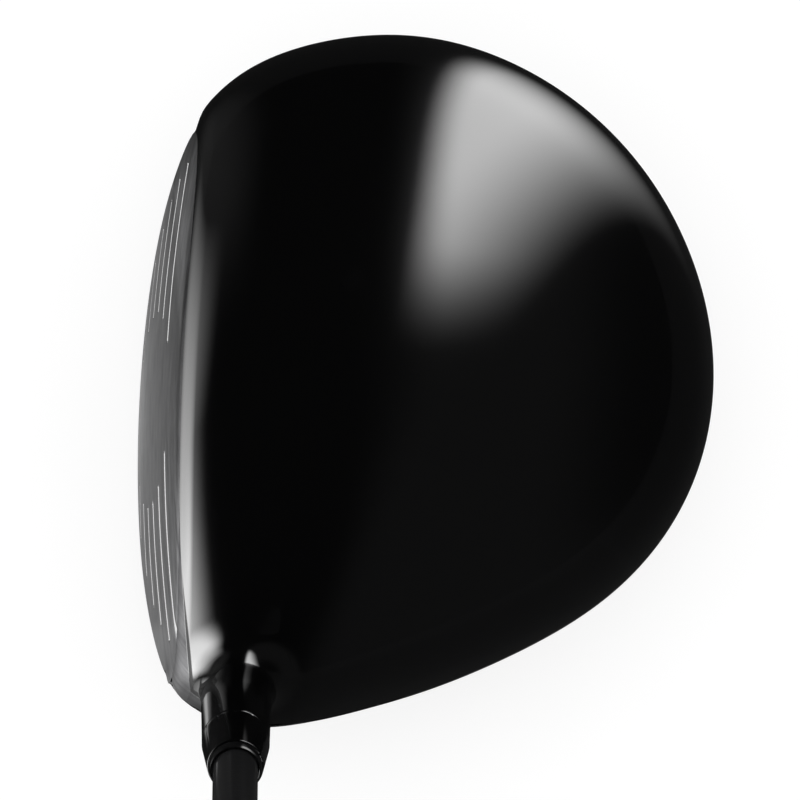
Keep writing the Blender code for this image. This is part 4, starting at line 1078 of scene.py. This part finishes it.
g = face_fine(FACE_COLS)
fn = normals_at(g, "body")
back = g - FACE_T * fn
deep = score_depth(g[..., 1], g[..., 2])
g = g - (SCORE_DEPTH * deep)[..., None] * fn
me = new_mesh("face_fine", row_frame(np.concatenate([g.reshape(-1, 3), back.reshape(-1, 3)])), plate_polys(*g.shape[:2]), recalc=False)
merge_close(me, 2e-6)
face = put("face_brushed", me, [FACE_LOOK, SCORE], "head", ("face_plate",), sharp=40)
centre = np.empty(len(me.polygons) * 3, np.float32)
me.polygons.foreach_get("center", centre)
c = centre.reshape(-1, 3) * 1000 + ORIGIN
front = face_x(c[:, 1], c[:, 2]) - c[:, 0] > -0.8
me.polygons.foreach_set("material_index", ((score_depth(c[:, 1], c[:, 2]) > 0.35) & front).astype(np.int32))

# ---- hosel ----

def fine_neck_columns(count):
    psi = np.arange(count) * 2 * math.pi / count
    for ph in neck_span():
        z = equator_height(np.array([ph]))
        x, y = polar(np.array([ph]), side_r(np.array([ph]), z))
        corner = math.atan2(x[0], y[0] * N_AX[1] + z[0] * N_AX[2]) % (2 * math.pi)
        psi[np.argmin(abs(psi - corner))] = corner
    return psi


neck_columns = fine_neck_columns
neck = neck_grid(NECK_COLS, FLARE, TIGHT)
rows = neck.shape[0]
i = np.arange(NECK_COLS)
k = (i + 1) % NECK_COLS
quads = np.concatenate([np.stack([j * NECK_COLS + i, j * NECK_COLS + k, ((j + 1) % rows) * NECK_COLS + k, ((j + 1) % rows) * NECK_COLS + i], 1) for j in range(rows)])
me = new_mesh("hosel_fine", row_frame(neck), [quads])
hosel = put("hosel_lacquered", me, NECK_LOOK, "head", ("hosel_neck",))
co = np.arange(rows * NECK_COLS).reshape(rows, NECK_COLS)
surface_normals(me, None, "field", 0.5)

# ---- weights in the sole ----
for side in PORTS:
    place = PORT_FRAMES[side]
    d, fl = CUP["depth"], CUP["floor"]
    turned(side + "_port_cup", rounded([(CUP["r_in"] + 0.4, 0, 0.1), (CUP["r_out"], 0, 0.12), (CUP["r_out"], -d - fl), (CUP["boss_r"], -d - fl), (CUP["boss_r"], -d - CUP["boss"]),
                                        (CUP["hole_r"], -d - CUP["boss"]), (CUP["hole_r"], -d, 0.2), (CUP["r_in"], -d, 0.5), (CUP["r_in"], -0.4, 0.1)], 0.3),
           CAST, place, "head", (side + "_weight_port",), 128)
    t = PUCK["thick"]
    bottom = -d + 0.3
    top = bottom + t
    grip_rows = []

    def edge_notch(k, r, th, R=PUCK["r"]):
        # six shallow finger notches in the puck's rim
        if r < R - 0.9:
            return np.full(len(th), r)
        c = np.cos(6 * th)
        return r - 0.28 * np.clip((c - 0.86) / 0.14, 0, 1)
    prof = rounded([(PUCK["sink_r"], top, 0.2), (PUCK["sink_r"] + 0.5, top, 0.1), (PUCK["sink_r"] + 0.62, top - 0.14, 0.05), (PUCK["sink_r"] + 0.85, top - 0.14, 0.05), (PUCK["sink_r"] + 0.97, top, 0.1),
                    (PUCK["r"], top, 0.55), (PUCK["r"], bottom, 0.4), (PUCK["hole_r"], bottom, 0.2), (PUCK["hole_r"], top - PUCK["sink"], 0.1), (PUCK["sink_r"], top - PUCK["sink"], 0.3)], 0.2)
    turned(side + "_weight_puck", prof, TUNGSTEN, place, side + "_weight", (side + "_weight",), 144, edge_notch)


def threaded(name, look_, place, body, node, head, shank_r, tip, root, pitch, start, socket_r, socket_depth, opening, head_profile, up):
    """A screw as one turned body. Heights run from the socket end (opening) to the tip; the thread is a helix on the shank."""
    sides = 48
    length = abs(tip - start)
    rows = int(length / pitch * 8)
    s = np.linspace(start, tip, rows + 1)
    prof, kind = [], []
    sgn = 1 if tip > start else -1
    prof.append((0, opening + sgn * socket_depth)); kind.append(0)
    prof.append((socket_r, opening + sgn * socket_depth)); kind.append(1)
    prof.append((socket_r, opening + sgn * 0.15)); kind.append(1)
    prof.append((socket_r + 0.18, opening)); kind.append(2)
    for p in head_profile:
        prof.append(p[:2]); kind.append(p[2] if len(p) > 2 else 0)
    for h in s[1:]:
        prof.append((shank_r, h)); kind.append(3)
    prof.append((0, tip + sgn * 0.01)); kind.append(0)
    heights = [p[1] for p in prof]

    def radius_of(k, r, th):
        if kind[k] in (1, 2):      # six-lobed socket
            return r * (1 + (0.11 if kind[k] == 1 else 0.05) * np.cos(6 * th))
        if kind[k] == 4:           # knurled rim
            return r - 0.09 * (0.5 + 0.5 * np.cos(24 * th))
        if kind[k] == 3:
            ph = (heights[k] / pitch - sgn * th / (2 * math.pi)) % 1.0
            tri = np.clip(1.25 - 2.6 * np.abs(ph - 0.5), 0, 1)
            grow = min(1.0, abs(heights[k] - start) / pitch, )
            taper = min(1.0, abs(tip - heights[k]) / (pitch * 1.2))
            return root + (shank_r - root) * tri * min(grow, 1) * taper - 0.25 * (1 - taper)
        return np.full(len(th), r)
    return turned(name, prof, look_, place, body, (node,), sides, radius_of, 38)


# weight screws: head countersunk in the puck, tip in the boss; heights fall towards the tip
for side in PORTS:
    place = PORT_FRAMES[side]
    t = PUCK["thick"]
    bottom = -CUP["depth"] + 0.3
    top = bottom + t
    q = PORT_SCREW
    seat = top - PUCK["sink"] + 0.15
    face_h = seat + q["head"]
    threaded(side + "_weight_screw_threaded", STEEL, place, side + "_weight_screw", side + "_weight_screw", q["head"], q["shank_r"], seat - q["length"] + 0.4, 1.62, 0.7, seat - 2.2,
             q["socket_r"] - 0.2, q["socket"], face_h,
             [(q["head_r"] - 0.75, face_h), (q["head_r"] - 0.45, face_h - 0.08), (q["head_r"] - 0.12, face_h - 0.35), (q["head_r"], face_h - 0.62, 4), (q["head_r"], seat + 0.25, 4), (q["head_r"] - 0.15, seat),
              (q["shank_r"] + 0.15, seat), (q["shank_r"], seat - 0.2), (q["shank_r"], seat - 2.0)], 1)
q = SCREW
threaded("hosel_screw_threaded", STEEL, ALONG, "hosel_screw", "hosel_screw", 0, q["shank_r"], q["top"] - 0.05, 1.98, 0.8, 30.0, q["socket_r"] - 0.22, q["socket"], q["head_bottom"],
         [(q["head_r"] - 0.9, q["head_bottom"]), (q["head_r"] - 0.45, q["head_bottom"] + 0.12), (q["head_r"] - 0.12, q["head_bottom"] + 0.4), (q["head_r"], q["head_bottom"] + 0.75, 4), (q["head_r"], q["head_top"] - 0.3, 4), (q["head_r"] - 0.2, q["head_top"]),
          (q["shank_r"] + 0.15, q["head_top"]), (q["shank_r"] - 0.1, q["head_top"] + 0.25), (q["shank_r"] - 0.1, 29.6)], 1)
w = WASHER
turned("screw_washer_turned", rounded([(w["hole_r"], w["bottom"]), (w["r"], w["bottom"]), (w["r"], w["top"]), (w["hole_r"], w["top"])], 0.25), STEEL, ALONG, "washer", ("screw_washer",), 96)
w = CLIP
turned("screw_clip_moulded", rounded([(w["hole_r"], w["bottom"]), (w["r"], w["bottom"]), (w["r"], w["top"]), (w["hole_r"], w["top"])], 0.3), NYLON, ALONG, "hosel_screw", ("screw_clip",), 96,
       lambda k, r, th: r - (0.35 * np.clip((np.cos(3 * th) - 0.7) / 0.3, 0, 1) if r > 3.4 else 0 * th))

# ---- adaptor ----
g = RING
ring_prof = rounded([(g["bore_r"], g["bottom"], 0.1), (g["r0"], g["bottom"], 0.22), (g["r0"], g["bottom"] + 0.9, 0.3), (g["r1"], g["top"], 0.3), (g["bore_r"], g["top"], 0.12)], 0.2, 4)


def ring_radius(k, r, th):
    h = ring_prof[k][1]
    if r > 5.4 and h < g["bottom"] + 1.0:      # twelve index notches in the lower rim
        c = np.cos(12 * th)
        return r - 0.16 * np.clip((c - 0.93) / 0.07, 0, 1) * min(1.0, (g["bottom"] + 1.0 - h) / 0.3)
    return np.full(len(th), r)


turned("loft_ring_finished", ring_prof, RING_LOOK, ALONG, "loft_ring", ("loft_ring",), 288, ring_radius)
g = SLEEVE
teeth = g["teeth"]
sleeve_prof = [(g["hole_r"], g["bottom"]), (g["root_r"] - 0.1, g["bottom"]), (g["r"] - 0.12, g["bottom"] + 0.35), (g["r"], g["bottom"] + 0.6), (g["r"], g["bottom"] + g["spline"]), (g["r"], g["bottom"] + g["spline"] + 0.45),
               (g["r"] - 0.12, 52.0), (g["r"] - 0.12, 66.0), (g["r"], 66.3), (g["r"], g["top"] - 0.2), (g["r"] - 0.2, g["top"]), (g["bore_r"], g["top"]), (g["bore_r"], g["bore_from"]), (g["hole_r"], g["hole_top"])]


def splined(k, r, th):
    if k in (2, 3, 4):
        c = np.cos(teeth * th)
        return g["root_r"] + (r - g["root_r"]) * np.clip(0.5 + 1.6 * c, 0, 1)
    return np.full(len(th), r)


turned("adaptor_sleeve_splined", sleeve_prof, ALLOY, ALONG, "club_shaft", ("adaptor_sleeve",), 288, splined)
g = FERRULE
prof = [(g["bore_r"], g["bottom"]), (g["r"] - 0.08, g["bottom"]), (g["r"], g["bottom"] + 0.1)]
for u in np.linspace(0, 1, 26)[1:]:
    h = g["bottom"] + 0.1 + u * (g["top"] - g["bottom"] - 0.1)
    r0, r1 = g["r"], g["bore_r"] + 0.22
    prof.append((r0 + (r1 - r0) * (0.12 * u + 0.88 * (u ** 2.4)), h))
prof += [(g["bore_r"] + 0.05, g["top"] + 0.0), (g["bore_r"], g["top"] - 0.05)]
turned("ferrule_moulded", prof, FERRULE_LOOK, ALONG, "club_shaft", ("ferrule",), 160)


# ---- shaft and grip ----
def shaft_r(s):
    return SHAFT_TIP_R + (SHAFT_BUTT_R - SHAFT_TIP_R) * min(1.0, max(0.0, (s - SHAFT_BOTTOM - TIP_STRAIGHT) / (SHAFT_TOP - SHAFT_BOTTOM - TIP_STRAIGHT - 120)))


st = sorted(set([SHAFT_BOTTOM + 0.3, SHAFT_BOTTOM + TIP_STRAIGHT, SHAFT_TOP - 120, SHAFT_TOP - 0.3] + list(np.linspace(SHAFT_BOTTOM + 2, SHAFT_TOP - 2, 120))))
prof = [(shaft_r(SHAFT_BOTTOM) - 0.25, SHAFT_BOTTOM)] + [(shaft_r(s), s) for s in st] + [(shaft_r(SHAFT_TOP) - 0.25, SHAFT_TOP), (shaft_r(SHAFT_TOP) - SHAFT_WALL, SHAFT_TOP)] + [(shaft_r(s) - SHAFT_WALL, s) for s in st[::-6]] + [(shaft_r(SHAFT_BOTTOM) - SHAFT_WALL, SHAFT_BOTTOM)]
turned("shaft_clearcoated", prof, CARBON, ALONG, "club_shaft", ("shaft",), 96)
g = PLUG
turned("shaft_tip_plug_turned", rounded([(0, g["bottom"]), (g["r"], g["bottom"], 0.5), (g["r"], g["bottom"] + 5.6, 0.1), (g["r"] - 0.3, g["bottom"] + 5.9, 0.1), (g["r"] - 0.3, g["bottom"] + 6.6, 0.1), (g["r"], g["bottom"] + 6.9, 0.1), (g["r"], g["bottom"] + g["length"], 0.5), (0, g["bottom"] + g["length"])], 0.2),
       BRASS, ALONG, "club_shaft", ("shaft_tip_plug",), 64)
g = GRIP
lap = 9.0
turned("grip_tape_wrapped", [(shaft_r(s) + 0.1, s) for s in np.linspace(g["mouth"] + 4, SHAFT_TOP - 1, 60)] + [(shaft_r(s) + 0.1 + g["tape"], s) for s in np.linspace(SHAFT_TOP - 1, g["mouth"] + 4, 240)], TAPE, ALONG, "club_shaft", ("grip_tape",), 64,
       lambda k, r, th: (r - 0.12 * ((((g["mouth"] + 4 + (SHAFT_TOP - 5 - g["mouth"]) * (1 - (k - 60) / 239.0)) / lap + th / (2 * math.pi)) % 1.0) < 0.5)) if k >= 60 else np.full(len(th), r))


def grip_outer(s):
    """Outer radius of the grip: a straight mouth, then a steady swell to the butt."""
    knots = [(g["mouth"], g["r0"]), (g["mouth"] + 1.5, g["r0"] + 0.35), (g["mouth"] + 14, g["r0"] + 0.4), (950.0, 10.4), (1040.0, 12.0), (1120.0, g["r1"]), (g["end"] - 2.1, g["r1"])]
    return float(np.interp(s, [a for a, _ in knots], [b for _, b in knots]))


def bore(s):
    return shaft_r(s) + 0.1 + GRIP["tape"] + 0.15


gs = np.concatenate([[g["mouth"]], g["mouth"] + 0.3 + np.arange(0, 1.4, 0.3), np.arange(g["mouth"] + 2, g["end"] - 2.3, 0.62), [g["end"] - 2.1]])
outer_prof = [(grip_outer(s), s) for s in gs]
inner_prof = [(bore(SHAFT_TOP), g["end"] - 2.1), (bore(SHAFT_TOP - 120), SHAFT_TOP - 120), (bore(960.0), 960.0), (bore(g["mouth"]), g["mouth"])]
grip_prof = outer_prof + inner_prof
n_out = len(outer_prof)


def grip_radius(k, r, th):
    if k >= n_out:
        return np.full(len(th), r)
    s = grip_prof[k][1]
    out = np.full(len(th), r)
    end_fade = min(1.0, max(0.0, (s - g["mouth"] - 12) / 4)) * min(1.0, max(0.0, (g["end"] - 8 - s) / 4))
    # panels of crossed grooves, split by plain bands
    cell = 62.0
    u = ((s - g["mouth"] - 14) % cell) / cell
    panel = min(1.0, max(0.0, (u - 0.06) / 0.03)) * min(1.0, max(0.0, (0.94 - u) / 0.03))
    turns = th / (2 * math.pi)
    d1 = np.abs(((s / 11.0 + turns * 6) % 1.0) - 0.5)
    d2 = np.abs(((s / 11.0 - turns * 6) % 1.0) - 0.5)
    groove = np.maximum(np.clip((0.12 - d1) / 0.06, 0, 1), np.clip((0.12 - d2) / 0.06, 0, 1))
    rings = 1.0 if (u < 0.035 or u > 0.965) else 0.0
    return out - 0.42 * groove * panel * end_fade - 0.3 * rings * end_fade


turned("grip_patterned", grip_prof, RUBBER, ALONG, "club_shaft", ("grip",), 144, grip_radius, 30)
c = CAP
e = g["end"]
turned("grip_cap_moulded", rounded([(c["hole_r"], e - 1.8, 0.1), (c["r"] - 2.0, e - 1.8, 0.4), (c["r"], e - 0.6, 0.8), (c["r"], e + c["thick"] - 2.2, 0.8), (c["r"] - 1.6, e + c["thick"] - 0.6, 1.6), (c["r"] - 4.0, e + c["thick"], 0.4),
                                    (c["r"] - 4.3, e + c["thick"] - 0.35, 0.1), (c["r"] - 5.1, e + c["thick"] - 0.35, 0.1), (c["r"] - 5.4, e + c["thick"], 0.2), (c["hole_r"] + 0.5, e + c["thick"], 0.2), (c["hole_r"], e + c["thick"] - 0.5, 0.2)], 0.3, 4),
       CAP_LOOK, ALONG, "club_shaft", ("grip_cap",), 144)

for name in ("grip_patterned", "grip_cap_moulded", "grip_tape_wrapped", "shaft_clearcoated"):
    bpy.data.objects[name].visible_glossy = False      # the far end of the club doesn't mirror in the crown

# ---- light: an even white room, with the studio's soft boxes seen only in reflections ----
def studio(t, d):
    """Radiance of the studio in direction d, as glossy surfaces see it: a soft box past the toe, a strip in front, darkness between."""
    dx, dy, dz = nd(t, "ShaderNodeSeparateXYZ", None, {0: d}).outputs
    slant = ma(t, "MULTIPLY_ADD", dx, -1.25, dy)
    box = ma(t, "MULTIPLY", ma(t, "MULTIPLY", step(t, ma(t, "MULTIPLY_ADD", dy, -0.12, dx), 0.11, 0.28), step(t, slant, -0.6, 0.2)), ma(t, "MULTIPLY", step(t, dy, -0.02, 0.3), step(t, dz, -0.75, 0.1)))
    edge = ma(t, "ADD", ma(t, "ADD", dx, 0.84), ma(t, "MULTIPLY", ma(t, "MINIMUM", dy, 0.0), 0.33))
    low = ma(t, "ADD", ma(t, "ADD", dz, 0.24), ma(t, "MULTIPLY", step(t, dy, -0.8, 0.1, kind="LINEAR"), 0.74))
    strip = ma(t, "MULTIPLY", ma(t, "MULTIPLY", step(t, edge, 0.14, -0.16), step(t, dy, 0.45, -0.36, kind="LINEAR")), ma(t, "MULTIPLY", step(t, low, -0.12, 0.12), step(t, dy, -0.99, -0.9)))
    left = ma(t, "MULTIPLY", step(t, dx, -0.45, -0.8), step(t, dy, 0.1, 0.6))
    right = ma(t, "MULTIPLY", ma(t, "MULTIPLY", step(t, dx, 0.06, 0.26), step(t, dx, 0.98, 0.6, 0.1, 1.0)), step(t, dz, -0.2, 0.1, 0.3, 1.0))
    lum = ma(t, "ADD", ma(t, "MULTIPLY", box, BOX_LIGHT), ma(t, "MULTIPLY", strip, STRIP_LIGHT))
    lum = ma(t, "MULTIPLY", lum, step(t, nd(t, "ShaderNodeLightPath").outputs["Glossy Depth"], 1.6, 1.4, 0.25, 1.0))     # what mirrors twice is weak
    return ma(t, "ADD", lum, ma(t, "ADD", ma(t, "MULTIPLY", left, 0.05), ma(t, "MULTIPLY", right, 0.017)))


BOX_LIGHT, STRIP_LIGHT = 3.05, 4.3
FACE_POOL, HEEL_POOL, UNDER_POOL = 0.36, 0.2, 1.4

# ---- floor ----
me = new_mesh("floor", np.array([[-3, -3, -0.0006], [3, -3, -0.0006], [3, 3, -0.0006], [-3, 3, -0.0006]]), [np.array([[0, 1, 2, 3]])], recalc=False)
floor = bpy.data.objects.new("floor", me)
bpy.context.scene.collection.objects.link(floor)
m = bpy.data.materials.new("pale_floor")
m.use_nodes = True
t = m.node_tree
t.nodes.clear()
out = nd(t, "ShaderNodeOutputMaterial")
path = nd(t, "ShaderNodeLightPath")
geo = nd(t, "ShaderNodeNewGeometry")
pos = nd(t, "ShaderNodeSeparateXYZ", None, {0: nd(t, "ShaderNodeVectorMath", {"operation": "MULTIPLY"}, {0: geo.outputs["Position"], 1: (1000.0, 1000.0, 1000.0)}).outputs[0]})
px, py, pz = pos.outputs
dif = nd(t, "ShaderNodeBsdfDiffuse", None, {0: (0.3, 0.3, 0.3, 1)})
glow = nd(t, "ShaderNodeEmission", None, {0: (1, 1, 1, 1), 1: 0.76})
seen = nd(t, "ShaderNodeAddShader", None, {0: dif.outputs[0], 1: glow.outputs[0]})
# what the glossy surfaces see of the table: the same studio, with a pool of light in front of the face and a fill under the head
ray = nd(t, "ShaderNodeVectorMath", {"operation": "SCALE"}, {0: geo.outputs["Incoming"], 3: -1.0}).outputs[0]
ry = nd(t, "ShaderNodeSeparateXYZ", None, {0: ray}).outputs[1]
reach = path.outputs["Ray Length"]
pool = ma(t, "MULTIPLY", step(t, px, -41.0, -46.0), step(t, px, -78.0, -62.0))
pool = ma(t, "MULTIPLY", pool, ma(t, "MULTIPLY", step(t, reach, 0.09, 0.07), step(t, ry, 0.5, 0.3)))
pool = ma(t, "MULTIPLY", pool, ma(t, "MULTIPLY", step(t, py, 62.0, 30.0, 0.0, 1.0), step(t, ma(t, "ADD", py, ma(t, "MULTIPLY", step(t, ry, 0.12, 0.0), 45.0)), -52.0, -40.0)))
heel_pool = ma(t, "MULTIPLY", ma(t, "MULTIPLY", step(t, px, -44.0, -50.0), step(t, px, -66.0, -60.0)), ma(t, "MULTIPLY", step(t, py, -37.0, -40.0), step(t, py, -48.0, -44.0)))
under = step(t, ma(t, "SQRT", ma(t, "ADD", ma(t, "MULTIPLY", px, px), ma(t, "MULTIPLY", py, py))), 54.0, 40.0)
under = ma(t, "MULTIPLY", under, step(t, reach, 0.06, 0.045))
lum = ma(t, "ADD", ma(t, "MULTIPLY_ADD", pool, FACE_POOL, 0.008), ma(t, "ADD", ma(t, "MULTIPLY", heel_pool, HEEL_POOL), ma(t, "MULTIPLY", under, UNDER_POOL)))
lum = ma(t, "ADD", lum, studio(t, ray))
lum = ma(t, "MULTIPLY", lum, step(t, path.outputs["Glossy Depth"], 1.6, 1.4, 0.4, 1.0))
mirror = nd(t, "ShaderNodeEmission", None, {0: (1, 1, 1, 1), 1: lum})
a = nd(t, "ShaderNodeMixShader", None, {0: path.outputs["Is Glossy Ray"], 1: seen.outputs[0], 2: mirror.outputs[0]})
clear = nd(t, "ShaderNodeBsdfTransparent")
b = nd(t, "ShaderNodeMixShader", None, {0: geo.outputs["Backfacing"], 1: a.outputs[0], 2: clear.outputs[0]})
t.links.new(b.outputs[0], out.inputs[0])
me.materials.append(m)

# ---- room ----
world = bpy.data.worlds.new("studio")
bpy.context.scene.world = world
world.use_nodes = True
t = world.node_tree
t.nodes.clear()
out = nd(t, "ShaderNodeOutputWorld")
path = nd(t, "ShaderNodeLightPath")
d = nd(t, "ShaderNodeTexCoord").outputs["Generated"]
d = nd(t, "ShaderNodeVectorMath", {"operation": "NORMALIZE"}, {0: d}).outputs[0]
room = nd(t, "ShaderNodeBackground", None, {0: (1, 1, 1, 1), 1: 1.0})
boxes = nd(t, "ShaderNodeBackground", None, {0: (1, 1, 1, 1), 1: studio(t, d)})
mixed = nd(t, "ShaderNodeMixShader", None, {0: path.outputs["Is Glossy Ray"], 1: room.outputs[0], 2: boxes.outputs[0]})
t.links.new(mixed.outputs[0], out.inputs[0])

# ---- camera ----
cam = bpy.data.cameras.new("camera")
camera = bpy.data.objects.new("camera", cam)
bpy.context.scene.collection.objects.link(camera)
DISTANCE, WIDTH = 6.0, 0.1464
cam.sensor_width = 36.0
cam.lens = DISTANCE * 36.0 / WIDTH
cam.clip_start, cam.clip_end = 0.1, 60.0
el = math.radians(80.0)
target = Vector((0.00287, -0.0020, 0.0349))
toward = Vector((0.0, -math.cos(el), math.sin(el)))
camera.location = target + toward * DISTANCE
camera.rotation_mode = "QUATERNION"
camera.rotation_quaternion = (-toward).to_track_quat("-Z", "Y")
bpy.context.scene.camera = camera
bpy.context.scene.view_settings.view_transform = "Standard"
